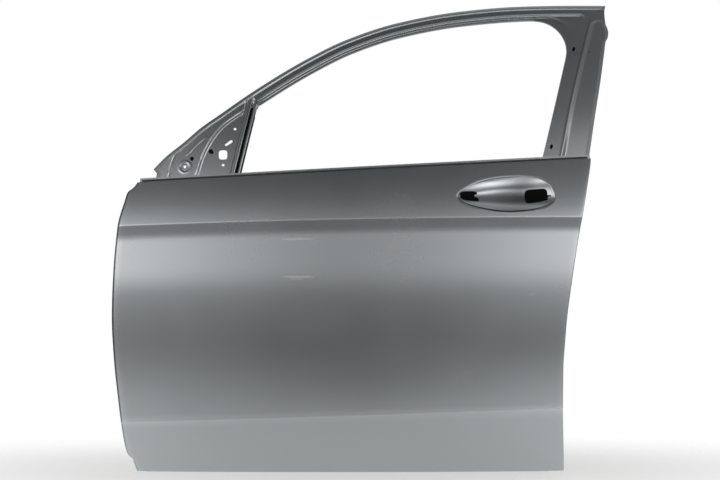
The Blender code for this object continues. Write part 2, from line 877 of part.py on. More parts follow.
def hinge_centre_y(z):
    """The middle of the hinge wall's flat, from its foot to the pan's corner."""
    foot = skin_y(HINGE_WALL_X, z) + PAN_DEPTH + FOOT_RISE
    return (foot + face_y(z) - PAN_CORNER) / 2


def latch_centre_y(z):
    foot = skin_y(latch_wall(z), z) + PAN_DEPTH + FOOT_RISE
    return (foot + face_y(z) - PAN_CORNER) / 2


def bolt_places(z):
    """The two bolts of a hinge, one above the other."""
    y = hinge_centre_y(z)
    return ((y, z - HINGE_BOLT_SPACING / 2), (y, z + HINGE_BOLT_SPACING / 2))


def slot(y, z, width, height):
    half_width = width / 2
    half_height = height / 2
    corners = (
        (y - half_width, z - half_height),
        (y + half_width, z - half_height),
        (y + half_width, z + half_height),
        (y - half_width, z + half_height),
    )
    return rounded(corners, half_width * 0.6, 2)


CHECK_SLOT = slot(hinge_centre_y(CHECK_STRAP_Z), CHECK_STRAP_Z, CHECK_SLOT_WIDTH, CHECK_SLOT_HEIGHT)
LATCH_SLOT = slot(latch_centre_y(LATCH_Z), LATCH_Z, LATCH_SLOT_WIDTH, LATCH_SLOT_HEIGHT)
LATCH_SCREWS = (
    (latch_centre_y(LATCH_Z) - 0.021, LATCH_Z + 0.026),
    (latch_centre_y(LATCH_Z) + 0.023, LATCH_Z + 0.018),
    (latch_centre_y(LATCH_Z) - 0.014, LATCH_Z - 0.047),
)
WALL_CUT = 0.020


def make_inner_panel():
    panel = add_sheet("inner_panel", PAN_COLUMNS, PAN_ROWS, pan_point, PANEL_SHEET, SHADED_PAINT)
    low = face_y(0.0) - 0.01
    high = face_y(BELT_FRONT_Z) + 0.02
    cut(panel, "speaker_hole", circle(SPEAKER_X, SPEAKER_Z, SPEAKER_DIAMETER, 24), low, high)
    cut(panel, "service_hole", rounded(SERVICE_HOLE, SERVICE_RADIUS), low, high)
    cut(panel, "front_hole", rounded(FRONT_HOLE, FRONT_HOLE_RADIUS), low, high)
    cut(panel, "latch_hole", rounded(LATCH_HOLE, LATCH_HOLE_RADIUS), low, high)
    front = (HINGE_WALL_X - WALL_CUT, HINGE_WALL_X + PAN_CORNER / 2)
    for side, z in (("upper", HINGE_UPPER_Z), ("lower", HINGE_LOWER_Z)):
        for k, (y, height) in enumerate(bolt_places(z)):
            cut(panel, f"hinge_hole_{side}_{k}", circle(y, height, HINGE_BOLT_HOLE, 12), *front, "X")
    cut(panel, "check_slot", CHECK_SLOT, *front, "X")
    y = hinge_centre_y(GROMMET_Z)
    cut(panel, "grommet_hole", circle(y, GROMMET_Z, GROMMET_DIAMETER, 16), *front, "X")
    rear = (latch_wall(LATCH_Z) - WALL_CUT, latch_wall(LATCH_Z) + WALL_CUT)
    cut(panel, "latch_slot", LATCH_SLOT, *rear, "X")
    for k, (y, height) in enumerate(LATCH_SCREWS):
        cut(panel, f"latch_hole_{k}", circle(y, height, LATCH_SCREW_HOLE, 8), *rear, "X")
    return panel


def wall_plate(name, z, height, reach, sheet):
    """A plate on the hinge wall that turns the pan's corner onto its flat face."""
    rows = (z - height / 2, z + height / 2)

    def place(column, row):
        level = rows[row]
        wall = hinge_wall(z) + SEAT_GAP
        face = face_y(level) - SEAT_GAP
        centre = hinge_centre_y(z)
        near = centre - HINGE_FACE_WIDTH / 2
        spots = (
            (wall, near),
            (wall, face - PAN_CORNER - SEAT_GAP),
            (wall + PAN_CORNER + SEAT_GAP, face),
            (wall + reach, face),
        )
        x, y = spots[column]
        return Vector((x, y, level))

    return add_sheet(name, 4, 2, place, sheet, SHADED_PAINT, offset=1.0)


def add_nut(name, x, y, z, turn, bore=NUT_BORE):
    """A hexagon weld nut lying along X, with its bore."""
    bm = bmesh.new()
    rings = []
    for side in (0, 1):
        for radius in (NUT_WIDTH / 2 / math.cos(math.pi / 6), bore / 2 / math.cos(math.pi / 12)):
            count = 12
            ring = []
            for k in range(count):
                angle = 2 * math.pi * k / count
                reach = radius
                if radius > bore and k % 2:
                    reach = radius * math.cos(math.pi / 6)
                ring.append(bm.verts.new((side * NUT_HEIGHT, reach * math.cos(angle), reach * math.sin(angle))))
            rings.append(ring)
    outer_low, inner_low, outer_high, inner_high = rings
    for first, second in (
        (outer_low, outer_high),
        (outer_high, inner_high),
        (inner_high, inner_low),
        (inner_low, outer_low),
    ):
        for k in range(12):
            n = (k + 1) % 12
            bm.faces.new((first[k], first[n], second[n], second[k]))
    nut = add_object(name, finish_mesh(name, bm), NUT_STEEL)
    nut.location = (x, y, z)
    nut.rotation_euler = (0.0, 0.0, turn)
    return nut


def make_hinge_parts():
    for side, z in (("upper", HINGE_UPPER_Z), ("lower", HINGE_LOWER_Z)):
        plate = wall_plate(
            f"hinge_reinforcement_{side}", z, HINGE_FACE_HEIGHT, HINGE_PLATE_REACH, HINGE_PLATE_SHEET,
        )
        back = hinge_wall(z) + SEAT_GAP + HINGE_PLATE_SHEET + SEAT_GAP
        for k, (y, height) in enumerate(bolt_places(z)):
            outline = circle(y, height, HINGE_BOLT_HOLE, 12)
            cut(plate, f"plate_hole_{side}_{k}", outline, HINGE_WALL_X - 0.005, back + 0.005, "X")
            add_nut(f"hinge_nut_{side}_{k + 1}", back, y, height, 0.0)
    plate = wall_plate(
        "check_strap_reinforcement", CHECK_STRAP_Z, STRAP_PLATE_HEIGHT, STRAP_PLATE_REACH, BRACKET_SHEET,
    )
    back = HINGE_WALL_X + SEAT_GAP + BRACKET_SHEET + 0.005
    cut(plate, "check_plate_slot", CHECK_SLOT, HINGE_WALL_X - 0.005, back, "X")


def make_latch_reinforcement():
    """A plate on the sloping latch wall that turns the corner onto the flat face."""
    rows = (LATCH_Z - LATCH_PLATE_BELOW, LATCH_Z + LATCH_PLATE_ABOVE)

    def place(column, row):
        level = rows[row]
        wall = latch_wall(level) - SEAT_GAP * 1.1
        face = face_y(level) - SEAT_GAP
        spots = (
            (wall - LATCH_PLATE_REACH, face),
            (wall - PAN_CORNER - SEAT_GAP, face),
            (wall, face - PAN_CORNER - SEAT_GAP),
            (wall, latch_centre_y(LATCH_Z) - LATCH_PLATE_OUT),
        )
        x, y = spots[column]
        return Vector((x, y, level))

    plate = add_sheet("latch_reinforcement", 4, 2, place, BRACKET_SHEET, SHADED_PAINT, offset=1.0)
    span = (latch_wall(LATCH_Z) - 0.035, latch_wall(LATCH_Z) + WALL_CUT)
    cut(plate, "latch_plate_slot", LATCH_SLOT, *span, "X")
    for k, (y, height) in enumerate(LATCH_SCREWS):
        cut(plate, f"latch_plate_hole_{k}", circle(y, height, LATCH_SCREW_HOLE, 8), *span, "X")
    return plate


# Window frame: cross sections set square to its outline, from the sail's foot to the latch pillar
HEADER_PROFILE = (
    (0.0, 0.0),
    (0.0015, 0.0025),
    (0.0080, 0.0030),
    (0.0095, 0.0),
    (0.0230, 0.0),
    (0.0250, 0.0035),
    (0.0350, 0.0030),
    (HEADER_WIDTH, 0.0),
)
PILLAR_PROFILE = (
    (0.0, 0.0),
    (0.0015, 0.0010),
    (0.0300, 0.0010),
    (-0.0485, 0.0010),
    (-0.0465, 0.0010 - PILLAR_RECESS),
    (-0.0440, 0.0030),
    (-0.0050, 0.0020),
    (0.0, 0.0),
)
RING_COLUMNS = len(HEADER_PROFILE)
SAIL_EXTRAS = 6
SAIL_STATIONS = (0.0932, 0.1226, 0.1659, 0.2090, 0.2525, 0.2850, 0.3050)
SAIL_TOP_Z = BELT_FRONT_Z + 0.1630
SAIL_REAR_GAP = 0.008
HEADER_STATIONS = (0.352, 0.402, 0.460, 0.520, 0.585, 0.655, 0.730, 0.810, 0.890, 0.970, 1.035)
FIRST_CORNER_TURN = 88.0
WINDOW_CORNER_SHARE = 0.080
ROOF_SHARES = (0.197, 0.373, 0.570, 0.783)
CORNER_SHARES = (0.9137, 0.8113, 0.6986)
PILLAR_SHARES = (0.5706, 0.4297, 0.2889, 0.1480, 0.0)
PILLAR_FOOT_GAP = 0.003
FOOT_X = 0.100
FOOT_STEPS = (0.055, 0.030, 0.0, -0.012)
PILLAR_STEPS = (0.055, 0.034, 0.0125)


def flat(x, z):
    return Vector((x, z))


def window_corner_centre():
    x = mix(HEADER_STATIONS[-1], ROOF_LINE[-1][0], WINDOW_CORNER_SHARE)
    z = roof_line(x) - HEADER_WIDTH - WINDOW_CORNER
    lean = math.atan(PILLAR_LEAN)
    return flat(window_line(z) - WINDOW_CORNER / math.cos(lean), z)


def frame_sections():
    """Each section: its outer point, its window point and what it crosses."""
    sections = []
    belt = belt_line(FOOT_X)
    for drop in FOOT_STEPS:
        z = belt - drop
        sections.append((flat(FOOT_X, z), flat(division_line(z) - SAIL_REAR_GAP, z), "foot"))
    count = len(SAIL_STATIONS)
    for k, x in enumerate(SAIL_STATIONS):
        low = belt + 0.026
        z = mix(low, SAIL_TOP_Z, k / (count - 1))
        outer = flat(x, roof_line(x))
        sections.append((outer, flat(division_line(z) - SAIL_REAR_GAP, z), "sail"))
    for x in HEADER_STATIONS:
        slope = (roof_line(x + 0.001) - roof_line(x - 0.001)) / 0.002
        square = flat(slope, -1.0).normalized()
        outer = flat(x, roof_line(x))
        sections.append((outer, outer + square * HEADER_WIDTH, "header"))
    centre = window_corner_centre()
    lean = math.degrees(math.atan(PILLAR_LEAN))
    low = belt_line(PILLAR_EDGE[1][1]) + PILLAR_FOOT_GAP
    corner_x, top = ROOF_LINE[-1]
    outers = []
    for share in ROOF_SHARES:
        x = mix(HEADER_STATIONS[-1], corner_x, share)
        outers.append(flat(x, roof_line(x)))
    outers.append(flat(corner_x, top))
    for share in CORNER_SHARES:
        z = mix(low, top, share)
        outers.append(flat(pillar_edge(z), z))
    for k, outer in enumerate(outers):
        turn = math.radians(mix(FIRST_CORNER_TURN, -lean, k / (len(outers) - 1)))
        spoke = flat(math.cos(turn), math.sin(turn)) * WINDOW_CORNER
        sections.append((outer, centre + spoke, "corner"))
    for share in PILLAR_SHARES:
        z = mix(low, top, share)
        sections.append((flat(pillar_edge(z), z), flat(window_line(z), z), "pillar"))
    belt = belt_line(latch_wall(PILLAR_EDGE[1][0]))
    for drop in reversed(PILLAR_STEPS):
        z = belt - drop
        outer = flat(latch_wall(z) - SEAT_GAP - 0.0012, z)
        sections.append((outer, flat(window_line(z), z), "below"))
    return sections


SECTIONS = frame_sections()
KINDS = [kind for outer, inner, kind in SECTIONS]
FIRST_HEADER = KINDS.index("header")
LAST_SAIL = FIRST_HEADER - 1
FIRST_CORNER = KINDS.index("corner")
FIRST_PILLAR = KINDS.index("pillar")
FIRST_BELOW = KINDS.index("below")


def pillar_share(section):
    """0 on the header, 1 on the pillar, and between the two round the corner."""
    share = (section - FIRST_CORNER + 1) / (FIRST_PILLAR - FIRST_CORNER)
    return min(max(share, 0.0), 1.0)


def frame_spot(section, distance, height):
    outer, inner, kind = SECTIONS[section]
    spot = outer + (inner - outer).normalized() * distance
    return Vector((spot.x, frame_y(spot.x, spot.y) - height, spot.y))


def ring_profile(section, column):
    """Distance across the frame and height above its base surface."""
    outer, inner, kind = SECTIONS[section]
    distance, height = HEADER_PROFILE[column]
    if kind in ("foot", "sail"):
        if column == RING_COLUMNS - 1:
            height = -SAIL_DEPTH
        return distance, height
    width = (inner - outer).length
    if column >= RING_COLUMNS // 2:
        distance += width - HEADER_WIDTH
    across, rise = PILLAR_PROFILE[column]
    if across < 0.0 or column == RING_COLUMNS - 1:
        across += width
    share = pillar_share(section)
    if kind == "below":
        rise = 0.0
    return mix(distance, across, share), mix(height, rise, share)


def sail_profile(section, column):
    outer, inner, kind = SECTIONS[section]
    width = (inner - outer).length
    start = HEADER_WIDTH
    share = min(max((section - len(FOOT_STEPS)) / (LAST_SAIL - len(FOOT_STEPS)), 0.0), 1.0)
    rib = mix(start, width, mix(0.38, 0.12, share))
    room = width - rib
    spots = (
        (mix(start, rib, 0.5), -SAIL_DEPTH),
        (rib, -SAIL_DEPTH),
        (rib + min(0.0025, room * 0.12), SAIL_RIB_HEIGHT - SAIL_DEPTH),
        (rib + min(0.0060, room * 0.3), -SAIL_DEPTH),
        (mix(rib, width, 0.6), -SAIL_DEPTH),
        (width, -SAIL_DEPTH),
    )
    return spots[column]


def frame_place(column, section):
    kind = KINDS[section]
    if column < RING_COLUMNS:
        return frame_spot(section, *ring_profile(section, column))
    if kind in ("foot", "sail"):
        return frame_spot(section, *sail_profile(section, column - RING_COLUMNS))
    if column == RING_COLUMNS and kind in ("header", "corner", "pillar"):
        outer, inner, kind = SECTIONS[section]
        return frame_spot(section, (inner - outer).length, -WINDOW_RETURN)
    return None


def drop_sail_joint(bm, points):
    """The sail ends at the window corner, where the header's return begins."""
    for first in (RING_COLUMNS - 1, RING_COLUMNS):
        keys = ((first, LAST_SAIL), (first + 1, LAST_SAIL), (first + 1, FIRST_HEADER), (first, FIRST_HEADER))
        corners = [points.get(key) for key in keys]
        if None in corners:
            continue
        joint = [face for face in bm.faces if all(vert in corners for vert in face.verts)]
        bmesh.ops.delete(bm, geom=joint, context="FACES_ONLY")


MIRROR_BOSS = (0.170, BELT_FRONT_Z + 0.0380, 0.0065)
SAIL_HOLES = (
    ("mirror_stud", 0.1872, BELT_FRONT_Z + 0.0583, 0.0085),
    ("mirror_screw", 0.2337, BELT_FRONT_Z + 0.0755, 0.0080),
    ("trim_hole_low", 0.2644, BELT_FRONT_Z + 0.0427, 0.0065),
    ("trim_hole_high", 0.2920, BELT_FRONT_Z + 0.1323, 0.0065),
)
CABLE_WINDOW = (0.2637, BELT_FRONT_Z + 0.0680, 0.021, 0.023)
TRIM_SLOT = ((0.2686, BELT_FRONT_Z + 0.0914), (0.2850, BELT_FRONT_Z + 0.1020), 0.0055)
KEYHOLE_TAIL = ((0.2345, BELT_FRONT_Z + 0.0746), (0.2405, BELT_FRONT_Z + 0.0680), 0.0042)
PILLAR_SLOTS = (
    ("pillar_slot_high", (1.1331, BELT_FRONT_Z + 0.3312), (1.1371, BELT_FRONT_Z + 0.3424), 0.0062),
    ("pillar_slot_low", (1.0678, BELT_FRONT_Z + 0.0822), (1.0718, BELT_FRONT_Z + 0.0940), 0.0066),
)
MIRROR_PLATE_FRONT = (
    (BELT_FRONT_Z + 0.0220, 0.144),
    (BELT_FRONT_Z + 0.0600, 0.175),
    (BELT_FRONT_Z + 0.1000, 0.229),
)
MIRROR_PLATE_REAR_GAP = 0.032
MIRROR_PLATE_ROWS = 5
MIRROR_PLATE_SEAT = 1.5 * SEAT_GAP


def long_hole(start, end, width):
    """The outline of a slot between two points."""
    first = flat(*start)
    last = flat(*end)
    along = (last - first).normalized()
    side = flat(-along.y, along.x) * width / 2
    corners = [first - side, last - side, last + side, first + side]
    return rounded([tuple(corner) for corner in corners], width * 0.4, 2)


def sail_cuts():
    cuts = [("mirror_bore", circle(MIRROR_BOSS[0], MIRROR_BOSS[1], MIRROR_BOSS[2], 12))]
    for name, x, z, diameter in SAIL_HOLES:
        cuts.append((name, circle(x, z, diameter, 12)))
    x, z, width, height = CABLE_WINDOW
    cuts.append(("cable_window", slot(x, z, width, height)))
    cuts.append(("trim_slot", long_hole(*TRIM_SLOT)))
    return cuts


def make_window_frame():
    frame = add_sheet(
        "window_frame_outer",
        RING_COLUMNS + SAIL_EXTRAS,
        len(SECTIONS),
        frame_place,
        FRAME_SHEET,
        SILVER_PAINT,
        extra=drop_sail_joint,
    )
    for name, outline in sail_cuts():
        cut(frame, name, outline, FRAME_SET_IN - 0.020, FRAME_SET_IN + 0.080)
    cut(frame, "keyhole_tail", long_hole(*KEYHOLE_TAIL), FRAME_SET_IN - 0.020, FRAME_SET_IN + 0.080)
    for name, start, end, width in PILLAR_SLOTS:
        middle = frame_y((start[0] + end[0]) / 2, (start[1] + end[1]) / 2)
        cut(frame, name, long_hole(start, end, width), middle - 0.012, middle + 0.012)
    return frame


def make_mirror_reinforcement():
    """A thick plate behind the sail that the mirror's foot is bolted to."""
    front = straight_through(MIRROR_PLATE_FRONT)
    low = MIRROR_PLATE_FRONT[0][0]
    high = MIRROR_PLATE_FRONT[-1][0]
    depth = SAIL_DEPTH + FRAME_SHEET + MIRROR_PLATE_SEAT

    def place(column, row):
        z = mix(low, high, row / (MIRROR_PLATE_ROWS - 1))
        x = mix(front(z), division_line(z) - MIRROR_PLATE_REAR_GAP, column / 4)
        return Vector((x, frame_y(x, z) + depth, z))

    plate = add_sheet(
        "mirror_reinforcement", 5, MIRROR_PLATE_ROWS, place, MIRROR_PLATE_SHEET, SHADED_PAINT,
    )
    for name, outline in sail_cuts():
        if name != "trim_hole_high":
            cut(plate, "plate_" + name, outline, FRAME_SET_IN - 0.020, FRAME_SET_IN + 0.080)
    return plate


INNER_COLUMNS = 7
TAB_EASE = 0.0006


def box_depth(section, distance):
    """How far the frame's inner half stands behind its base surface."""
    outer, inner, kind = SECTIONS[section]
    spot = outer + (inner - outer).normalized() * distance
    rise = max(0.0, spot.y - belt_line(spot.x))
    seat = face_y(spot.y) - SEAT_GAP - FRAME_SHEET - TAB_EASE - frame_y(spot.x, spot.y)
    return mix(seat, FRAME_BOX_DEPTH, min(1.0, rise / 0.200))


def inner_frame_place(column, section):
    """The frame's inner half: a box behind the outer half, and a tab down the pan at each end."""
    outer, inner, kind = SECTIONS[section]
    width = (inner - outer).length
    if kind in ("foot", "sail"):
        width = HEADER_WIDTH
    seat = FRAME_SHEET + SEAT_GAP
    far = width - seat - FRAME_SHEET
    if kind == "corner":
        far -= 2 * SEAT_GAP
    if kind == "below" or section < len(FOOT_STEPS) - 2:
        if column not in (3, 4):
            return None
        distance = FRAME_FLANGE + 0.008 if column == 3 else far - 0.007
        spot = outer + (inner - outer).normalized() * distance
        x = min(spot.x, latch_wall(spot.y) - PAN_CORNER - 0.001)
        return Vector((x, face_y(spot.y) - SEAT_GAP - FRAME_SHEET, spot.y))
    spots = (
        (0.0, 0.0),
        (FRAME_FLANGE, 0.0),
        (FRAME_FLANGE + 0.003, 0.7),
        (FRAME_FLANGE + 0.008, 1.0),
        (far - 0.007, 1.0),
        (far, 0.75),
        (far, 0.0),
    )
    distance, share = spots[column]
    if column < 2:
        return frame_spot(section, distance, -seat)
    if column == 6:
        return frame_spot(section, distance, -WINDOW_RETURN / 2)
    return frame_spot(section, distance, -mix(seat, box_depth(section, distance), share))


def make_inner_frame():
    return add_sheet(
        "window_frame_inner",
        INNER_COLUMNS,
        len(SECTIONS),
        inner_frame_place,
        FRAME_SHEET,
        SHADED_PAINT,
    )


def make_guide(name, line, heights, toward):
    """A U channel that guides an edge of the glass; toward is the side it opens to."""
    seat = FRAME_SHEET + SEAT_GAP
    if toward > 0:
        seat += SAIL_DEPTH

    def place(column, row):
        z = heights[row]
        spots = (
            (0.0, 0.0),
            (-toward * GUIDE_LEG, 0.0),
            (-toward * GUIDE_LEG, GUIDE_WIDTH),
            (0.0, GUIDE_WIDTH),
        )
        if toward > 0:
            spots = tuple(reversed(spots))
        along, deep = spots[column]
        x = line(z) + along
        return Vector((x, frame_y(x, z) + seat + deep, z))

    return add_sheet(name, 4, len(heights), place, GUIDE_SHEET, SHADED_PAINT, offset=-1.0)


def make_guides():
    above = [inner.y for outer, inner, kind in SECTIONS if kind in ("foot", "sail")]
    below = [mix(GUIDE_END_Z, above[0], k / 5) for k in range(5)]
    make_guide("front_glass_guide", division_line, below + above, 1.0)
    above = sorted(inner.y for outer, inner, kind in SECTIONS if kind == "below")
    below = [mix(GUIDE_END_Z, above[0], k / 6) for k in range(6)]
    make_guide("rear_glass_guide", window_line, below + above, -1.0)


LEDGE_FOOT = 0.010
LEDGE_SECTION = (
    (-BELT_RAIL_DROP, 0.0),
    (-LEDGE_FOOT, 0.0),
    (-LEDGE_FOOT + 0.003, 1.0),
    (BELT_LEDGE, 1.0),
)
LEDGE_FRONT_GAP = 0.007
LEDGE_REAR_GAP = 0.0031
LEDGE_WALL_GAP = 0.004
RAIL_FRONT_GAP = 0.089
RAIL_REAR_GAP = 0.006


def make_belt_rails():
    ledge_start = BELT_FRONT_X + LEDGE_FRONT_GAP
    ledge_end = rear_edge(belt_line(REAR_CORNER_X)) - LEDGE_REAR_GAP

    def ledge(column, row):
        x = mix(ledge_start, ledge_end, column / 18)
        drop, share = LEDGE_SECTION[row]
        z = belt_line(x) + drop
        if share == 0.0:
            x = min(max(x, hinge_wall(z) + LEDGE_WALL_GAP), latch_wall(z) - LEDGE_WALL_GAP)
            return skin_point(x, belt_line(x) + drop, SKIN_SHEET + SEAT_GAP)
        lean = FRAME_LEAN * (drop + LEDGE_FOOT)
        return Vector((x, skin_y(x, belt_line(x) - LEDGE_FOOT) + BELT_LEDGE_INSET + lean, z))

    add_sheet("belt_rail_outer", 19, len(LEDGE_SECTION), ledge, BRACKET_SHEET, SILVER_PAINT)

    hat = (
        (-0.078, 0.0),
        (-0.066, 0.0),
        (-0.062, 1.0),
        (-0.032, 1.0),
        (-0.028, 0.0),
        (-0.016, 0.0),
    )

    def rail(column, row):
        start = BELT_FRONT_X + RAIL_FRONT_GAP
        x = mix(start, window_line(BELT_FRONT_Z) - RAIL_REAR_GAP, column / 8)
        drop, share = hat[row]
        z = belt_line(x) + drop
        return Vector((x, face_y(z) - SEAT_GAP - BRACKET_SHEET - share * INNER_RAIL_DEPTH, z))

    add_sheet("belt_rail_inner", 9, len(hat), rail, BRACKET_SHEET, SHADED_PAINT)


def beam_axis(x):
    share = (x - HINGE_WALL_X) / (LATCH_WALL_X - HINGE_WALL_X)
    y = mix(BEAM_FRONT_Y, BEAM_REAR_Y, share)
    return Vector((x, y, mix(BEAM_FRONT_Z, BEAM_REAR_Z, share)))


def make_beam():
    start = beam_axis(HINGE_WALL_X + 0.020)
    end = beam_axis(LATCH_WALL_X - 0.020)
    bm = bmesh.new()
    bmesh.ops.create_cone(
        bm,
        cap_ends=False,
        segments=20,
        radius1=BEAM_DIAMETER / 2,
        radius2=BEAM_DIAMETER / 2,
        depth=(end - start).length,
    )
    mesh = bpy.data.meshes.new("side_impact_beam")
    bm.to_mesh(mesh)
    bm.free()
    beam = add_object("side_impact_beam", mesh, BEAM_STEEL)
    beam.location = (start + end) / 2
    beam.rotation_mode = "QUATERNION"
    beam.rotation_quaternion = (end - start).to_track_quat("Z", "Y")
    add_solidify(beam, BEAM_WALL)


BRACKET_LENGTH = 0.095
BRACKET_EAR = 0.014
BRACKET_FLANGE = 0.010


def make_beam_bracket(name, wall_x, side):
    """A saddle under the beam's end, with ears and a flange turned up at the wall."""
    along = (beam_axis(LATCH_WALL_X) - beam_axis(HINGE_WALL_X)).normalized()
    across = Vector((0.0, 1.0, 0.0)).cross(along).normalized()
    deep = Vector((0.0, 1.0, 0.0))
    turns = (-90.0, -60.0, -30.0, 0.0, 30.0, 60.0, 90.0)
    reach = (BEAM_DIAMETER / 2 + SEAT_GAP) / math.cos(math.radians(15.0))
    profile = [(-reach - BRACKET_EAR, 0.002)]
    profile += [(reach * math.sin(math.radians(t)), reach * math.cos(math.radians(t))) for t in turns]
    profile[1] = (-reach, 0.002)
    profile[-1] = (reach, 0.002)
    profile.append((reach + BRACKET_EAR, 0.002))
    stations = [wall_x + side * SEAT_GAP, wall_x + side * BRACKET_LENGTH]

    def place(column, row):
        spread, depth = profile[row]
        if column == 0:
            depth += BRACKET_FLANGE
        station = stations[max(column - 1, 0)]
        spot = beam_axis(station) + across * spread + deep * depth
        spot += along * ((station - spot.x) / along.x)
        return spot

    def ordered(column, row):
        return place(column if side > 0 else 2 - column, row)

    offset = -1.0 if across.z > 0 else 1.0
    return add_sheet(name, 3, len(profile), ordered, BRACKET_SHEET, SHADED_PAINT, offset=offset)


# Skin brace: an upright top-hat strip behind the middle of the skin, as (along X, share of height)
BRACE_X = 0.640
BRACE_HEIGHT = 0.010
BRACE_SEAT = 1.3 * SEAT_GAP
BRACE_SECTION = (
    (-0.034, 0.0),
    (-0.018, 0.0),
    (-0.014, 1.0),
    (0.014, 1.0),
    (0.018, 0.0),
    (0.034, 0.0),
)
BRACE_ROWS = (STEP_ROW + 1, CREASE_ROW - 4)


def make_skin_brace():
    def place(column, row):
        across, share = BRACE_SECTION[column]
        x = BRACE_X + across
        z = row_heights(x)[BRACE_ROWS[0] + row]
        return skin_point(x, z, SKIN_SHEET + BRACE_SEAT + share * BRACE_HEIGHT)

    rows = BRACE_ROWS[1] - BRACE_ROWS[0] + 1
    return add_sheet("skin_brace", len(BRACE_SECTION), rows, place, BRACE_SHEET, SHADED_PAINT)


def main():
    make_outer_skin()
    make_inner_panel()
    make_hinge_parts()
    make_latch_reinforcement()
    make_window_frame()
    make_mirror_reinforcement()
    make_inner_frame()
    make_guides()
    make_belt_rails()
    make_skin_brace()
    make_beam()
    make_beam_bracket("beam_bracket_front", HINGE_WALL_X, 1.0)
    make_beam_bracket("beam_bracket_rear", LATCH_WALL_X, -1.0)
    ROOT.location = (
        -(HINGE_WALL_X - PANEL_SHEET),
        -hinge_centre_y(HINGE_UPPER_Z),
        -HINGE_UPPER_Z,
    )


main()
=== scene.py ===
"""Looks of a front left car door shell, pressed in sheet steel and painted silver grey.

Sizes are in metres. Shapes are worked out in the door's own coordinates: X runs to the rear of
the car, Y into the cabin and Z up, from the front edge of the skin, its widest line and its
bottom edge. ORIGIN moves them to the frame that the sheet-metal solids lie in.
"""

import json
import math

import bmesh
import bpy
import numpy as np
from mathutils import Matrix, Vector


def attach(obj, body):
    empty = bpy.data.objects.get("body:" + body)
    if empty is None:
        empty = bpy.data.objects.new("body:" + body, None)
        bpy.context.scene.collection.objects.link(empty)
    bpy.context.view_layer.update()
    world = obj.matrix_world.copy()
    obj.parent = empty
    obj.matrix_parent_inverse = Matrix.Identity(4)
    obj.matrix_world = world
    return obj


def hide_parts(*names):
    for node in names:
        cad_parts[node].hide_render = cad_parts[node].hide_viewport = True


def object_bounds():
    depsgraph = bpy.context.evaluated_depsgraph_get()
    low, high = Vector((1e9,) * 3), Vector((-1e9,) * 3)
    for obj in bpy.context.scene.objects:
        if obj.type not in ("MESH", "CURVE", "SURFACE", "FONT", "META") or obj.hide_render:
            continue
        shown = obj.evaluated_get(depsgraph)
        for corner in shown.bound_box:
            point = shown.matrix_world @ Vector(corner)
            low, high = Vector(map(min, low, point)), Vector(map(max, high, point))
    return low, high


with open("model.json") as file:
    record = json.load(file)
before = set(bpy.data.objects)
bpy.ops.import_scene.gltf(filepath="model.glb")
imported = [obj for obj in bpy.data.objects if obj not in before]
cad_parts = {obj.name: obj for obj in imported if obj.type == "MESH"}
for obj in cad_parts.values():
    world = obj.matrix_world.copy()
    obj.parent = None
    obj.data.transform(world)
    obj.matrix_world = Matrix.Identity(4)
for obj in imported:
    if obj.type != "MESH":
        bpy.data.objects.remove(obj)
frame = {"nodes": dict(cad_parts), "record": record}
SOLID_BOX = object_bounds()
ORIGIN = Vector((-0.0441, -0.0768, -0.5400))

bl_info = {
    "name": "Car door shell",
    "version": (1, 0, 0),
    "blender": (4, 5, 0),
    "location": "3D View > Sidebar > Door",
    "description": "Fine sheet metal, paint and studio for a car door shell",
    "category": "Object",
}


# Outline, section and feature lines of the skin
BELT_FRONT_X = 0.057
BELT_FRONT_Z = 0.705
BELT_SLOPE = 0.0535
REAR_CORNER_X = 1.098
FRONT_EDGE = (
    (0.0, 0.0560),
    (0.024, 0.0487),
    (0.0335, 0.0450),
    (0.0385, 0.0380),
    (0.054, 0.0307),
    (0.105, 0.0220),
    (0.189, 0.0130),
    (0.282, 0.0045),
    (0.378, 0.0),
    (0.496, 0.0033),
    (0.5995, 0.0122),
    (BELT_FRONT_Z - 0.049, 0.0267),
    (BELT_FRONT_Z - 0.023, 0.0354),
    (BELT_FRONT_Z - 0.0145, 0.0470),
    (BELT_FRONT_Z - 0.0005, BELT_FRONT_X),
)
REAR_EDGE = (
    (0.0, REAR_CORNER_X),
    (0.072, REAR_CORNER_X - 0.0030),
    (0.177, REAR_CORNER_X - 0.0066),
    (0.2555, REAR_CORNER_X - 0.0067),
    (0.315, REAR_CORNER_X - 0.0030),
    (0.369, REAR_CORNER_X + 0.0014),
    (0.482, REAR_CORNER_X + 0.0170),
    (0.546, REAR_CORNER_X + 0.0276),
    (0.697, REAR_CORNER_X + 0.0564),
    (0.766, REAR_CORNER_X + 0.0690),
)
PLAN_BOW = 0.022
PLAN_MIDDLE_X = 0.560
PLAN_HALF = 0.580
WIDEST_Z = 0.347
CREASE_FRONT_Z = 0.5978
CREASE_RISE = 0.0224
CREASE_FRONT_X = 0.012
CREASE_LENGTH = 1.128
STEP_FRONT_Z = 0.123
STEP_SLOPE = 0.0327
STEP_DEPTH = 0.0018
STEP_RUN = 0.006
TUCK_SLOPE = -17.0
SILL_SLOPE = -10.0
UNDERCUT_SLOPE = 8.0
CREASE_LOWER_SLOPE = -3.0
CREASE_UPPER_SLOPE = 12.0
BELT_SKIN_SLOPE = 20.0
TUCK_TOP_Z = 0.031
WIDEST_BAND = 0.087
UNDERCUT_LOW = 0.100
UNDERCUT_HIGH = 0.042
CREASE_BELOW = 0.020
CREASE_ABOVE = 0.030
CREASE_ROLL = 0.0022
FRONT_ROLL_WIDTH = 0.008
FRONT_ROLL_DEPTH = 0.0038
REAR_ROLL_WIDTH = 0.005
REAR_ROLL_DEPTH = 0.0010

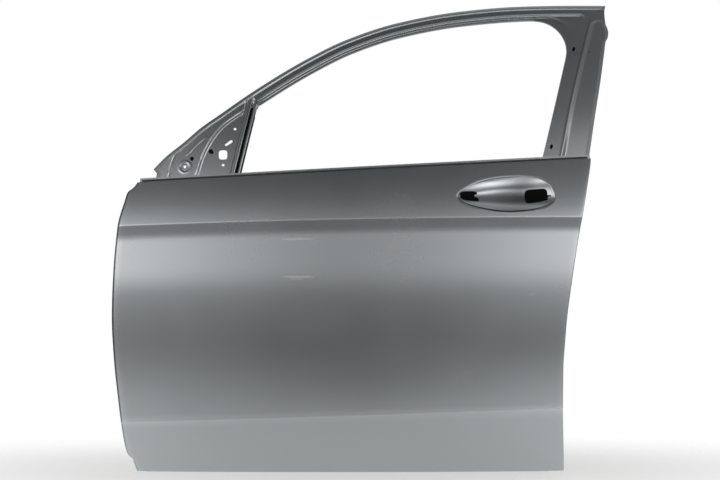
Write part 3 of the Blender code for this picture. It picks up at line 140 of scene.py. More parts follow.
# Sheets, seats and hems
SEAT_GAP = 0.0003
SKIN_SHEET = 0.0008
PANEL_SHEET = 0.0009
FRAME_SHEET = 0.0010
HEM_RETURN = 0.012
HEM_RADIUS = SKIN_SHEET + SEAT_GAP + PANEL_SHEET / 2
BELT_HEM_RADIUS = SKIN_SHEET + SEAT_GAP
BELT_HEM_RETURN = 0.007

# Handle recess and its two openings, about the recess's centre
RECESS_X = 0.970
RECESS_Z = 0.675
RECESS_DEPTH = 0.024
RECESS_OUTLINE = (
    (-0.136, -0.003),
    (-0.102, 0.022),
    (-0.0645, 0.036),
    (-0.002, 0.044),
    (0.048, 0.042),
    (0.085, 0.0275),
    (0.099, 0.009),
    (0.104, -0.009),
    (0.093, -0.0236),
    (0.058, -0.037),
    (-0.004, -0.043),
    (-0.066, -0.0373),
    (-0.103, -0.0286),
    (-0.130, -0.016),
)
GRIP_OPENING = (
    (-0.1283, -0.0046),
    (-0.1273, 0.0022),
    (-0.1241, 0.0054),
    (-0.1154, 0.0072),
    (-0.0956, 0.0077),
    (-0.0852, 0.0044),
    (-0.0857, -0.0004),
    (-0.0919, -0.0010),
    (-0.0924, -0.0055),
    (-0.0882, -0.0069),
    (-0.0827, -0.0088),
    (-0.0812, -0.0177),
    (-0.0931, -0.0170),
    (-0.1130, -0.0153),
    (-0.1216, -0.0128),
    (-0.1266, -0.0091),
)
OPENING_RADIUS = 0.0014
LOCK_OPENING = (
    (0.0302, -0.0050),
    (0.0314, 0.0052),
    (0.0346, 0.0096),
    (0.0408, 0.0118),
    (0.0768, 0.0141),
    (0.0830, 0.0110),
    (0.0852, 0.0050),
    (0.0854, -0.0018),
    (0.0936, -0.0023),
    (0.0936, -0.0050),
    (0.0859, -0.0058),
    (0.0857, -0.0141),
    (0.0631, -0.0193),
    (0.0388, -0.0226),
    (0.0334, -0.0202),
    (0.0308, -0.0133),
)

# Window frame
FRAME_SET_IN = 0.080
FRAME_LEAN = 0.22
FRAME_CURVE = 0.385
ROOF_LINE = (
    (0.0932, 0.7373),
    (0.1226, 0.7679),
    (0.1659, 0.8034),
    (0.2090, 0.8414),
    (0.2525, 0.8727),
    (0.3414, 0.9361),
    (0.4636, 1.0128),
    (0.5637, 1.0644),
    (0.6918, 1.1089),
    (0.8554, 1.1406),
    (1.0046, 1.1540),
    (1.1063, 1.1569),
    (1.2226, 1.1577),
)
PILLAR_EDGE = (
    (0.640, 1.1370),
    (0.7755, 1.1643),
    (0.8573, 1.1785),
    (0.9620, 1.1988),
    (1.0323, 1.2115),
    (1.0644, 1.2179),
    (1.0692, 1.2215),
    (1.0872, 1.2250),
    (1.1005, 1.2222),
    (1.1079, 1.2194),
    (1.1274, 1.2180),
    (1.1463, 1.2188),
    (1.1577, 1.2226),
)
HEADER_WIDTH = 0.039
PILLAR_WINDOW_X = 1.0516
PILLAR_WINDOW_Z = 0.7757
PILLAR_LEAN = 0.2607
WINDOW_CORNER = 0.076
DIVISION_X = 0.311
DIVISION_Z = 0.736
DIVISION_LEAN = 0.226
WINDOW_RETURN = 0.014
SAIL_DEPTH = 0.0035
SAIL_STATIONS = (0.0932, 0.1226, 0.1659, 0.2090, 0.2525, 0.2850, 0.3100, 0.3310)
SAIL_SEAM = ((0.3310, 0.9288), (0.3528, 0.8965))
STRIP_WIDTH = 0.034
FRAME_BOX_DEPTH = 0.030
FRAME_FLANGE = 0.009
PAN_CORNER = 0.009
FACE_BOTTOM_Y = 0.096
FACE_LEAN = 0.053
FOOT_X = 0.100
FOOT_DROP = 0.055
LATCH_WALL_X = 1.068
LATCH_WALL_BEND_Z = 0.380
LATCH_WALL_SLOPE = 0.181

# Inner panel: its walls, its holes and the centres of its bolt patterns
HINGE_WALL_X = 0.045
HINGE_WALL_LOW_Z = 0.125
HINGE_WALL_HIGH_Z = BELT_FRONT_Z - 0.0550
HINGE_WALL_FOOT_X = 0.088
HINGE_WALL_TOP_X = 0.086
PAN_FLOOR_Z = 0.024
PAN_FLOOR_RISE = 0.006
PAN_TOP_GAP = 0.002
PAN_DEPTH = SKIN_SHEET + SEAT_GAP
FOOT_RADIUS = 0.0030
SPEAKER = (0.262, 0.178, 0.168)
SERVICE_HOLE = (
    (0.420, 0.215),
    (0.860, 0.215),
    (0.905, 0.330),
    (0.850, 0.500),
    (0.480, 0.500),
    (0.405, 0.360),
)
SERVICE_RADIUS = 0.045
FRONT_HOLE = ((0.150, 0.350), (0.330, 0.350), (0.345, 0.540), (0.175, 0.540))
FRONT_HOLE_RADIUS = 0.030
LATCH_HOLE = ((0.965, 0.380), (1.020, 0.380), (1.040, 0.560), (0.940, 0.560))
LATCH_HOLE_RADIUS = 0.022
HINGE_HEIGHTS = (0.540, 0.205)
HINGE_BOLT_SPACING = 0.056
HINGE_BOLT_HOLE = 0.011
CHECK_SLOT = (0.360, 0.018, 0.040)
GROMMET = (0.295, 0.032)
LATCH_SLOT = (0.530, 0.022, 0.062)
LATCH_SCREW_HOLE = 0.0075
LATCH_SCREWS = ((-0.021, 0.026), (0.023, 0.018), (-0.014, -0.047))

# Pressed lines of the frame: place along X at heights
GROOVE_ONE = (
    (0.7318, 0.2012),
    (0.7689, 0.2130),
    (0.8055, 0.2309),
    (0.8424, 0.2587),
    (0.8680, 0.2913),
    (0.8816, 0.3121),
    (0.9000, 0.3420),
)
GROOVE_TWO = ((0.7270, 0.1318), (0.7458, 0.1351), (0.7656, 0.1420), (0.7924, 0.1600))
RIDGE_THREE = ((0.7722, 0.1754), (0.7938, 0.1932), (0.8133, 0.2142))
PILLAR_BEAD = (
    (0.7756, 1.0965),
    (0.9020, 1.1243),
    (0.9930, 1.1483),
    (1.0659, 1.1692),
    (1.1058, 1.1813),
)
PILLAR_BEAD_TOP = 1.1183
HEADER_LINE_END = 1.1630
MIRROR_BOSS = (0.170, 0.743)
MIRROR_BOSS_RADIUS = 0.0135


def smooth(share):
    share = min(max(share, 0.0), 1.0)
    return share * share * (3.0 - 2.0 * share)


def hump(distance, width):
    return math.exp(-((distance / width) ** 2))


def mix(first, second, share):
    return first + (second - first) * share


SLOPE_REACH = 0.001
SQUARE_REACH = 0.0008


def slope_of(line, at, reach=SLOPE_REACH):
    """How steeply a line climbs at a place."""
    return (line(at + reach) - line(at - reach)) / (2 * reach)


def curve_through(points):
    """A smooth curve through (position, value) pairs that never overshoots them."""
    knots = sorted(points)
    count = len(knots)
    steps = [knots[k + 1][0] - knots[k][0] for k in range(count - 1)]
    rises = [(knots[k + 1][1] - knots[k][1]) / steps[k] for k in range(count - 1)]
    slopes = [rises[0]]
    for k in range(1, count - 1):
        if rises[k - 1] * rises[k] <= 0.0:
            slopes.append(0.0)
        else:
            first = 2.0 * steps[k] + steps[k - 1]
            second = steps[k] + 2.0 * steps[k - 1]
            slopes.append((first + second) / (first / rises[k - 1] + second / rises[k]))
    slopes.append(rises[-1])

    def value(position):
        if position <= knots[0][0]:
            return knots[0][1] + slopes[0] * (position - knots[0][0])
        if position >= knots[-1][0]:
            return knots[-1][1] + slopes[-1] * (position - knots[-1][0])
        k = 0
        while position > knots[k + 1][0]:
            k += 1
        t = (position - knots[k][0]) / steps[k]
        return (
            knots[k][1] * (1 + 2 * t) * (1 - t) ** 2
            + slopes[k] * steps[k] * t * (1 - t) ** 2
            + knots[k + 1][1] * t * t * (3 - 2 * t)
            - slopes[k + 1] * steps[k] * t * t * (1 - t)
        )

    return value


front_edge = curve_through(FRONT_EDGE)
rear_edge = curve_through(REAR_EDGE)
roof_line = curve_through(ROOF_LINE)
pillar_edge = curve_through(PILLAR_EDGE)
groove_one = curve_through(GROOVE_ONE)
groove_two = curve_through(GROOVE_TWO)
ridge_three = curve_through(RIDGE_THREE)
pillar_bead = curve_through(PILLAR_BEAD)


def latch_wall(z):
    return LATCH_WALL_X + LATCH_WALL_SLOPE * max(0.0, z - LATCH_WALL_BEND_Z)


def bow(x):
    return PLAN_BOW * ((x - PLAN_MIDDLE_X) / PLAN_HALF) ** 2


def belt_line(x):
    return BELT_FRONT_Z + BELT_SLOPE * (x - BELT_FRONT_X)


def crease_line(x):
    share = min(max((x - CREASE_FRONT_X) / CREASE_LENGTH, 0.0), 1.0)
    return CREASE_FRONT_Z + CREASE_RISE * (1.0 - (1.0 - share) ** 2)


def step_line(x):
    return STEP_FRONT_Z + STEP_SLOPE * x


def section_slopes(x):
    """The skin's slope, in degrees from upright, at the heights where it changes."""
    crease = crease_line(x)
    return (
        (0.0, TUCK_SLOPE),
        (TUCK_TOP_Z, mix(TUCK_SLOPE, SILL_SLOPE, 0.45)),
        (step_line(x), SILL_SLOPE),
        (WIDEST_Z, 0.0),
        (WIDEST_Z + WIDEST_BAND, UNDERCUT_SLOPE * 0.3),
        (crease - UNDERCUT_LOW, UNDERCUT_SLOPE),
        (crease - UNDERCUT_HIGH, UNDERCUT_SLOPE),
        (crease - CREASE_BELOW, mix(CREASE_LOWER_SLOPE, UNDERCUT_SLOPE, 0.1)),
        (crease - CREASE_ROLL, CREASE_LOWER_SLOPE),
        (crease + CREASE_ROLL, CREASE_UPPER_SLOPE),
        (crease + CREASE_ABOVE, mix(CREASE_UPPER_SLOPE, BELT_SKIN_SLOPE, 0.25)),
        (belt_line(x), BELT_SKIN_SLOPE),
    )


def climb(knots, z):
    """How far the section has moved inboard from its lowest knot to the height z."""
    total = 0.0
    last = len(knots) - 2
    for k in range(last + 1):
        (low, first), (high, second) = knots[k], knots[k + 1]
        top = z if k == last else min(z, high)
        if k == 0 and z < low:
            return (z - low) * math.tan(math.radians(first))
        if top <= low:
            break
        start = math.radians(first)
        end = start + math.radians(second - first) * (top - low) / (high - low)
        if abs(end - start) < 1e-9:
            total += (top - low) * math.tan(start)
        else:
            bend = math.log(math.cos(start)) - math.log(math.cos(end))
            total += (top - low) * bend / (end - start)
    return total


def skin_y(x, z):
    """The outer face of the skin."""
    knots = section_slopes(x)
    y = climb(knots, z) - climb(knots, WIDEST_Z) + bow(x)
    y += STEP_DEPTH * smooth((step_line(x) - z) / STEP_RUN)
    front = max(0.0, 1.0 - (x - front_edge(z)) / FRONT_ROLL_WIDTH)
    rear = max(0.0, 1.0 - (rear_edge(z) - x) / REAR_ROLL_WIDTH)
    return y + FRONT_ROLL_DEPTH * front ** 2 + REAR_ROLL_DEPTH * rear ** 2


def skin_inward(x, z):
    """The direction that points into the door, square to the skin."""
    along = slope_of(lambda at: skin_y(at, z), x, SQUARE_REACH)
    up = slope_of(lambda at: skin_y(x, at), z, SQUARE_REACH)
    return Vector((-along, 1.0, -up)).normalized()


def skin_point(x, z, depth=0.0):
    point = Vector((x, skin_y(x, z), z))
    if depth:
        point += skin_inward(x, z) * depth
    return point


def frame_y(x, z):
    """The base surface of the window frame."""
    rise = z - belt_line(x)
    return FRAME_SET_IN + FRAME_LEAN * rise + FRAME_CURVE * rise * rise + bow(x)


def division_line(z):
    return DIVISION_X + DIVISION_LEAN * (z - DIVISION_Z)


def window_line(z):
    return PILLAR_WINDOW_X + PILLAR_LEAN * (z - PILLAR_WINDOW_Z)


# Settings
class PaintSettings(bpy.types.PropertyGroup):
    colour: bpy.props.FloatVectorProperty(
        name="Paint colour",
        description="Base colour of the silver paint",
        subtype="COLOR",
        size=3,
        min=0.0,
        max=1.0,
        default=(0.42, 0.44, 0.45),
    )
    # Darker than the outside paint: painted shade of the door's inside
    inside_shaded_colour: bpy.props.FloatVectorProperty(
        name="Inside colour",
        description="Base colour of the inner sheets, painted darker as shade",
        subtype="COLOR",
        size=3,
        min=0.0,
        max=1.0,
        default=(0.34, 0.355, 0.365),
    )
    flake: bpy.props.FloatProperty(
        name="Flake size",
        description="Width of a metal flake in the paint",
        unit="LENGTH",
        min=0.0001,
        default=0.0005,
    )
    peel: bpy.props.FloatProperty(
        name="Orange peel",
        description="Width of the slow ripple in the clear coat",
        unit="LENGTH",
        min=0.001,
        default=0.006,
    )


class SkinSettings(bpy.types.PropertyGroup):
    recess_roll: bpy.props.FloatProperty(
        name="Recess edge",
        description="Share of the recess's radius taken by its rolled edge",
        subtype="FACTOR",
        min=0.005,
        max=0.1,
        default=0.03,
    )
    fold_steps: bpy.props.IntProperty(
        name="Fold steps",
        description="Number of facets round each folded edge",
        min=3,
        max=16,
        default=8,
    )


class FrameSettings(bpy.types.PropertyGroup):
    bead_height: bpy.props.FloatProperty(
        name="Bead height",
        description="Height of the bead along the header's outer edge",
        unit="LENGTH",
        min=0.0,
        max=0.006,
        default=0.0018,
    )
    groove_depth: bpy.props.FloatProperty(
        name="Groove depth",
        description="Depth of the grooves pressed into the mirror corner",
        unit="LENGTH",
        min=0.0,
        max=0.003,
        default=0.0018,
    )
    pillar_recess: bpy.props.FloatProperty(
        name="Pillar recess",
        description="Depth of the pillar's trim area",
        unit="LENGTH",
        min=0.0,
        max=0.004,
        default=0.0014,
    )


class StudioSettings(bpy.types.PropertyGroup):
    floor_colour: bpy.props.FloatVectorProperty(
        name="Floor colour",
        description="Colour of the pale floor",
        subtype="COLOR",
        size=3,
        min=0.0,
        max=1.0,
        default=(0.86, 0.86, 0.86),
    )
    floor_gap: bpy.props.FloatProperty(
        name="Floor gap",
        description="Distance from the door's lowest point to the floor",
        unit="LENGTH",
        min=0.0,
        default=0.0005,
    )
    camera_distance: bpy.props.FloatProperty(
        name="Camera distance",
        description="Distance from the camera to the skin's widest line",
        unit="LENGTH",
        min=1.0,
        default=4.5,
    )


# Mesh helpers
def mesh_from(bm, name):
    mesh = bpy.data.meshes.new(name)
    bm.to_mesh(mesh)
    bm.free()
    return mesh


# Edges that turn by more than this many degrees stay sharp
SHARP = 32.0
SHARP_PANEL = 30.0
SHARP_FRAME = 40.0
# Where the openings of each sheet are cut, from and to along Y
SKIN_CUT = (0.0, 0.140)
PANEL_CUT = (0.080, 0.170)
FRAME_CUT = (0.060, 0.300)


def add_piece(name, mesh, finish, replaced=(), sharp=SHARP):
    """A finished piece of the door: its place is in its mesh, and it rides on the door."""
    mesh.shade_smooth()
    mesh.set_sharp_from_angle(angle=math.radians(sharp))
    mesh.transform(Matrix.Translation(ORIGIN))
    mesh.materials.clear()
    mesh.materials.append(material_for(finish))
    piece = bpy.data.objects.new(name, mesh)
    bpy.context.scene.collection.objects.link(piece)
    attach(piece, "root")
    if replaced:
        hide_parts(*replaced)
    return piece


def grid_bm(columns, rows, place):
    """A grid with its points moved to place(column, row), without those that have no place."""
    bm = bmesh.new()
    bmesh.ops.create_grid(bm, x_segments=columns - 1, y_segments=rows - 1, size=1.0)
    points = {}
    unused = []
    for vert in bm.verts:
        column = round((vert.co.x + 1.0) / 2.0 * (columns - 1))
        row = round((vert.co.y + 1.0) / 2.0 * (rows - 1))
        spot = place(column, row)
        if spot is None:
            unused.append(vert)
        else:
            vert.co = spot
            points[(column, row)] = vert
    bmesh.ops.delete(bm, geom=unused, context="VERTS")
    return bm, points


def grid_mesh(name, columns, rows, place):
    return mesh_from(grid_bm(columns, rows, place)[0], name)


def outline_bm(outline, low, high, along_x=False):
    """A flat outline drawn out along Y, or an outline in Y and Z drawn out along X."""
    bm = bmesh.new()
    ring = [bm.verts.new((low, a, z) if along_x else (a, low, z)) for a, z in outline]
    face = bm.faces.new(ring)
    drawn = bmesh.ops.extrude_face_region(bm, geom=[face])
    top = [part for part in drawn["geom"] if isinstance(part, bmesh.types.BMVert)]
    reach = high - low
    bmesh.ops.translate(bm, verts=top, vec=(reach, 0.0, 0.0) if along_x else (0.0, reach, 0.0))
    bmesh.ops.recalc_face_normals(bm, faces=bm.faces)
    return bm


def pressed(name, mesh, thickness, cuts=(), reach=(), wall_cuts=()):
    """The sheet mesh thickened inwards, with openings cut through it.

    Each wall cut is an outline in Y and Z with the two places along X that it runs between.
    """
    work = bpy.data.objects.new(name + "_work", mesh)
    bpy.context.scene.collection.objects.link(work)
    tools = []
    if cuts:
        joined = bmesh.new()
        parts = [outline_bm(outline, *reach) for outline in cuts]
        parts += [outline_bm(outline, first, last, True) for outline, first, last in wall_cuts]
        for part in parts:
            part_mesh = mesh_from(part, "cut")
            joined.from_mesh(part_mesh)
            bpy.data.meshes.remove(part_mesh)
        tool = bpy.data.objects.new(name + "_cuts", mesh_from(joined, name + "_cuts"))
        bpy.context.scene.collection.objects.link(tool)
        tools.append(tool)
        knife = work.modifiers.new("cuts", "BOOLEAN")
        knife.operation = "DIFFERENCE"
        knife.solver = "EXACT"
        knife.object = tool
    sheet = work.modifiers.new("sheet", "SOLIDIFY")
    sheet.thickness = thickness
    sheet.offset = -1.0
    sheet.use_even_offset = False
    seen = work.evaluated_get(bpy.context.evaluated_depsgraph_get())
    result = bpy.data.meshes.new_from_object(seen)
    result.name = name
    for item in [work] + tools:
        old = item.data
        bpy.data.objects.remove(item)
        bpy.data.meshes.remove(old)
    return result


def rounded(points, radius, steps=4):
    """A closed outline with each corner rounded."""
    result = []
    count = len(points)
    for k in range(count):
        corner = Vector(points[k])
        before = Vector(points[k - 1]) - corner
        after = Vector(points[(k + 1) % count]) - corner
        half = before.angle(after) / 2
        reach = min(radius / math.tan(half), before.length * 0.45, after.length * 0.45)
        size = reach * math.tan(half)
        before.normalize()
        after.normalize()
        centre = corner + (before + after).normalized() * size / math.sin(half)
        start = corner + before * reach - centre
        end = corner + after * reach - centre
        for n in range(steps + 1):
            result.append(tuple(centre + start.lerp(end, n / steps).normalized() * size))
    return result


def circle(x, z, diameter, sides=24):
    turns = [2 * math.pi * (k + 0.5) / sides for k in range(sides)]
    radius = diameter / 2
    return [(x + radius * math.cos(turn), z + radius * math.sin(turn)) for turn in turns]


CORNER_SIGNS = ((-1, -1), (1, -1), (1, 1), (-1, 1))


def slanted_slot(x, z, width, height, lean):
    """A slot with round ends whose long way leans by dx per dz."""
    along = Vector((lean, 1.0)).normalized()
    side = Vector((along.y, -along.x))
    side, along = side * width / 2, along * height / 2
    centre = Vector((x, z))
    corners = [centre + side * a + along * b for a, b in CORNER_SIGNS]
    return rounded(corners, width * 0.45, 4)


# The skin: height of its foot, the recess's gap in its rows and columns, and its finest columns
SILL_TOP_Z = 0.086
RECESS_BELOW = -0.008
RECESS_ABOVE = 0.014
RECESS_FROM = 0.705
RECESS_TO = 0.945
FRONT_STEPS = (HEM_RADIUS, 0.0026, 0.0038, 0.0052, 0.0066, FRONT_ROLL_WIDTH)
REAR_STEPS = (REAR_ROLL_WIDTH, 0.0038, 0.0027, HEM_RADIUS)
FRONT_CELLS = 56
RECESS_CELLS = 64
REAR_CELLS = 5


class SkinGrid:
    """Rows and columns of the fine skin, set along its feature lines."""

    def __init__(self):
        def level(z):
            return lambda x: z

        def below(line, drop):
            return lambda x: line(x) - drop

        # Where each run of rows starts, and its number of rows
        runs = (
            (level(HEM_RADIUS), 22),
            (level(SILL_TOP_Z), 3),
            (below(step_line, STEP_RUN), 6),
            (step_line, 15),
            (level(WIDEST_Z), 10),
            (below(crease_line, UNDERCUT_LOW), 10),
            (below(crease_line, 0.012), 14),
            (below(crease_line, RECESS_BELOW), 26),
            (below(belt_line, RECESS_ABOVE), 7),
            (below(belt_line, BELT_HEM_RADIUS), 1),
        )
        self.rows = []
        starts = []
        for (low, count), (high, _) in zip(runs, runs[1:] + runs[-1:]):
            starts.append(len(self.rows))
            self.rows += [(low, high, k / count) for k in range(count)]
        self.recess_low, self.recess_high = starts[-3:-1]
        span = RECESS_TO - RECESS_FROM
        shares = [RECESS_FROM * k / FRONT_CELLS for k in range(1, FRONT_CELLS)]
        shares += [RECESS_FROM + span * k / RECESS_CELLS for k in range(RECESS_CELLS + 1)]
        shares += [mix(RECESS_TO, 1.0, k / REAR_CELLS) for k in range(1, REAR_CELLS)]
        self.columns = [("front", distance) for distance in FRONT_STEPS]
        self.recess_first = len(self.columns) + FRONT_CELLS - 1
        self.recess_last = self.recess_first + RECESS_CELLS
        self.columns += [("share", share) for share in shares]
        self.columns += [("rear", distance) for distance in REAR_STEPS]

    def row_z(self, row, x):
        low, high, share = self.rows[row]
        return mix(low(x), high(x), share)

    def column_x(self, column, z):
        kind, value = self.columns[column]
        if kind == "front":
            return front_edge(z) + value
        if kind == "rear":
            return rear_edge(z) - value
        return mix(front_edge(z) + FRONT_ROLL_WIDTH, rear_edge(z) - REAR_ROLL_WIDTH, value)

    def place(self, column, row):
        x = PLAN_MIDDLE_X
        z = 0.0
        for _ in range(5):
            z = self.row_z(row, x)
            x = self.column_x(column, z)
        return x, z


HEM_PROBE = 0.0015
RETURN_SHARES = (0.0, 0.15, 0.4, 0.65, 0.85, 1.0)
# Rows and columns that have no fold beside them, where two folds would meet
BARE_FOOT_ROWS = 1
BARE_TOP_ROWS = 5
BARE_FOOT_COLUMNS = 6
BARE_BELT_COLUMNS = 3


def hem_points(place, radius, width, steps):
    """The outer face of a folded edge, from its fold to the end of its return."""
    start = place(radius, 0.0)
    centre = place(radius, radius)
    inward = (centre - start).normalized()
    along = place(radius + HEM_PROBE, 0.0) - start
    along = (along - inward * along.dot(inward)).normalized()
    points = []
    for k in range(1, steps):
        angle = math.pi * k / steps
        points.append(centre - (inward * math.cos(angle) + along * math.sin(angle)) * radius)
    for share in RETURN_SHARES:
        points.append(place(mix(radius, width, share), 2 * radius))
    return points


RECESS_SHIFT = -0.016
RECESS_HALF_LENGTH = 0.120
RECESS_HALF_HEIGHT = 0.0435
RECESS_WAVES = 5
BOWL_POWER = 2.3
ROLL_POWER = 1.7
ROLL_OUT = 0.35
ROLL_SHARES = (0.18, 0.0, -0.25, -0.55, -1.0)
FLAT_RINGS = 6
RECESS_RINGS = (
    0.955, 0.935, 0.91, 0.88, 0.845, 0.81, 0.77, 0.73, 0.68, 0.63,
    0.57, 0.51, 0.45, 0.38, 0.31, 0.24, 0.17, 0.10, 0.04,
)


def recess_swell():
    """Slow waves that turn an ellipse into the recess's outline, as cosine and sine parts."""
    outline = np.array(RECESS_OUTLINE)
    across = (outline[:, 0] - RECESS_SHIFT) / RECESS_HALF_LENGTH
    up = outline[:, 1] / RECESS_HALF_HEIGHT
    turns = np.arctan2(up, across)
    columns = [np.ones(len(turns))]
    stiffness = [0.0]
    for wave in range(1, RECESS_WAVES + 1):
        columns += [np.cos(turns * wave), np.sin(turns * wave)]
        stiffness += [0.01 * wave * wave] * 2
    grid = np.stack(columns, axis=1)
    swell = grid.T @ (np.hypot(across, up) - 1.0)
    return np.linalg.solve(grid.T @ grid + np.diag(stiffness), swell)


SWELL = recess_swell()


def recess_place(turn, share):
    """A place on the recess's outline drawn in to a share of its size."""
    scale = SWELL[0]
    for wave in range(1, RECESS_WAVES + 1):
        scale += SWELL[2 * wave - 1] * math.cos(turn * wave)
        scale += SWELL[2 * wave] * math.sin(turn * wave)
    reach = share * (1.0 + scale * min(share, 1.0))
    x = RECESS_X + RECESS_SHIFT + reach * RECESS_HALF_LENGTH * math.cos(turn)
    return x, RECESS_Z + reach * RECESS_HALF_HEIGHT * math.sin(turn)


def recess_bowl(share):
    """The recess's depth at a share of its size, as a part of the whole."""
    return 1.0 - min(share, 1.0) ** BOWL_POWER


def recess_point(turn, share, roll):
    """A point of the recess, with its edge rolled over."""
    x, z = recess_place(turn, share)
    bowl = recess_bowl(share)
    edge = 1.0 - share
    if edge < roll:
        rise = max(edge + roll * ROLL_OUT, 0.0) / (roll * (1.0 + ROLL_OUT))
        bowl = recess_bowl(1.0 - roll) * rise ** ROLL_POWER
    return skin_point(x, z) + Vector((0.0, RECESS_DEPTH * bowl, 0.0))


def turn_of(vert):
    across = (vert.co.x - RECESS_X - RECESS_SHIFT) / RECESS_HALF_LENGTH
    return math.atan2((vert.co.z - RECESS_Z) / RECESS_HALF_HEIGHT, across)


def edges_within(edges, verts):
    return [edge for edge in edges if edge.verts[0] in verts and edge.verts[1] in verts]


def extruded_ring(bm, edges):
    """A new ring of points on top of the edges, and the edges that join them."""
    drawn = bmesh.ops.extrude_edge_only(bm, edges=edges)
    ring = [part for part in drawn["geom"] if isinstance(part, bmesh.types.BMVert)]
    lines = [part for part in drawn["geom"] if isinstance(part, bmesh.types.BMEdge)]
    return ring, edges_within(lines, set(ring))


def press_recess(bm, border, roll):
    """Draw the handle recess, ring by ring, from the gap left in the skin."""
    edges = edges_within([edge for edge in bm.edges if edge.is_boundary], border)
    for k in range(FLAT_RINGS):
        ring, edges = extruded_ring(bm, edges)
        share = 1.0 / (FLAT_RINGS - k)
        for vert in ring:
            edge_x, edge_z = recess_place(turn_of(vert), 1.0 + roll * ROLL_OUT)
            vert.co = skin_point(mix(vert.co.x, edge_x, share), mix(vert.co.z, edge_z, share))
    shares = [1.0 + roll * part for part in ROLL_SHARES] + list(RECESS_RINGS)
    for share in shares:
        ring, edges = extruded_ring(bm, edges)
        for vert in ring:
            vert.co = recess_point(turn_of(vert), share, roll)
    bmesh.ops.holes_fill(bm, edges=edges, sides=0)
    bmesh.ops.triangulate(bm, faces=[face for face in bm.faces if len(face.verts) > 4])


def press_skin(roll, fold_steps):
    """The outer skin's sheet with its four hems and its recess, as one open surface."""
    grid = SkinGrid()
    columns = len(grid.columns)
    rows = len(grid.rows)
    side_count = fold_steps - 1 + len(RETURN_SHARES)
    hems = {}

    def hem(side, key):
        """The fold beside a row or column of the skin, worked out once."""
        if (side, key) in hems:
            return hems[(side, key)]
        beside = {
            "front": (0, key),
            "rear": (columns - 1, key),
            "bottom": (key, 0),
            "belt": (key, rows - 1),
        }
        x, z = grid.place(*beside[side])
        inset = {
            "front": lambda distance: (front_edge(z) + distance, z),
            "rear": lambda distance: (rear_edge(z) - distance, z),
            "bottom": lambda distance: (x, distance),
            "belt": lambda distance: (x, belt_line(x) - distance),
        }[side]
        radius, width = HEM_RADIUS, HEM_RETURN
        if side == "belt":
            radius, width = BELT_HEM_RADIUS, BELT_HEM_RETURN
        hems[(side, key)] = hem_points(
            lambda distance, depth: skin_point(*inset(distance), depth), radius, width, fold_steps
        )
        return hems[(side, key)]

    def place(column, row):
        column -= side_count
        row -= side_count
        inside_rows = 0 <= row < rows
        inside_columns = 0 <= column < columns
        if inside_rows and inside_columns:
            in_recess = grid.recess_first < column < grid.recess_last
            if in_recess and grid.recess_low < row < grid.recess_high:
                return None
            return skin_point(*grid.place(column, row))
        if inside_rows and BARE_FOOT_ROWS <= row < rows - BARE_TOP_ROWS:
            if column < 0:
                return hem("front", row)[-column - 1]
            return hem("rear", row)[column - columns]
        bare = BARE_FOOT_COLUMNS if row < 0 else BARE_BELT_COLUMNS
        if not inside_rows and bare <= column < columns - bare:
            return hem("bottom", column)[-row - 1] if row < 0 else hem("belt", column)[row - rows]
        return None

    bm, points = grid_bm(columns + 2 * side_count, rows + 2 * side_count, place)
    border = set()
    first, last = grid.recess_first + side_count, grid.recess_last + side_count
    low, high = grid.recess_low + side_count, grid.recess_high + side_count
    for c in range(first, last + 1):
        border |= {points[(c, low)], points[(c, high)]}
    for r in range(low, high + 1):
        border |= {points[(first, r)], points[(last, r)]}
    press_recess(bm, border, roll)
    return mesh_from(bm, "outer_skin_sheet")


# The window frame
HEADER_HEIGHTS = curve_through((
    (0.0, 0.0),
    (0.0012, 0.0005),
    (0.0050, 0.0015),
    (0.0068, 0.0018),
    (0.0080, 0.0014),
    (0.0098, 0.0007),
    (0.0112, 0.0002),
    (0.0130, 0.0),
    (0.0600, 0.0),
))


def line_distance(line, x, z):
    """Distance behind a pressed line that is given as a place along X at a height."""
    return (x - line(z)) / math.hypot(1.0, slope_of(line, z))


def roof_distance(x, z):
    """Distance down from the roof line, measured square to it."""
    foot = x
    for _ in range(3):
        slope = slope_of(roof_line, foot)
        foot += ((x - foot) + slope * (z - roof_line(foot))) / (1.0 + slope * slope)
    slope = slope_of(roof_line, foot)
    return (roof_line(foot) - z + slope * (x - foot)) / math.hypot(1.0, slope)


def trim_distance(x, z):
    """Distance inside the pillar's trim area, from its bead; below zero outside it."""
    across = line_distance(pillar_bead, x, z)
    down = PILLAR_BEAD_TOP - z
    corner = 0.014
    if across < corner and down < corner:
        return corner - math.hypot(corner - across, corner - down)
    return min(across, down)


def seam_distance(x, z):
    """Distance below the seam between sail and header; below zero on the header."""
    (start_x, start_z), (end_x, end_z) = SAIL_SEAM
    along = Vector((end_x - start_x, end_z - start_z)).normalized()
    return (x - start_x) * along.y - (z - start_z) * along.x


STRIP_EDGE = 0.0022
STRIP_HEIGHTS = curve_through((
    (0.0, -0.0016),
    (0.0022, -0.0012),
    (0.0036, 0.0002),
    (0.0056, 0.0008),
    (0.0078, 0.0002),
    (0.0092, -0.0014),
    (0.0100, -0.0040),
    (0.0150, -0.0040),
    (0.0162, -0.0014),
    (0.0180, -0.0006),
    (0.0235, -0.0004),
    (0.0262, -0.0012),
    (0.0280, -0.0035),
    (0.0330, -0.0035),
))


# Mirror corner: widths of the pressed lines, the lips beside them, and where the lines end
PLATE_STEP = 0.0014
GROOVE_ONE_SHAPE = (0.0019, 0.0006, 0.0014, 0.0036)
GROOVE_TWO_SHAPE = (0.0017, 0.0004, 0.0013, 0.0034)
GROOVE_ONE_END = 0.892
GROOVE_TWO_END = 0.796
RIDGE_THREE_ENDS = (0.7715, 0.8140)
PIP = (0.2196, 0.8155)
STRIP_BLEND = (0.0300, 0.0040)


def lipped(distance, height, width, lip, lip_width, offset):
    """A pressed line with a low lip on each side."""
    lips = hump(distance - offset, lip_width) + hump(distance + offset, lip_width)
    return height * hump(distance, width) + lip * lips


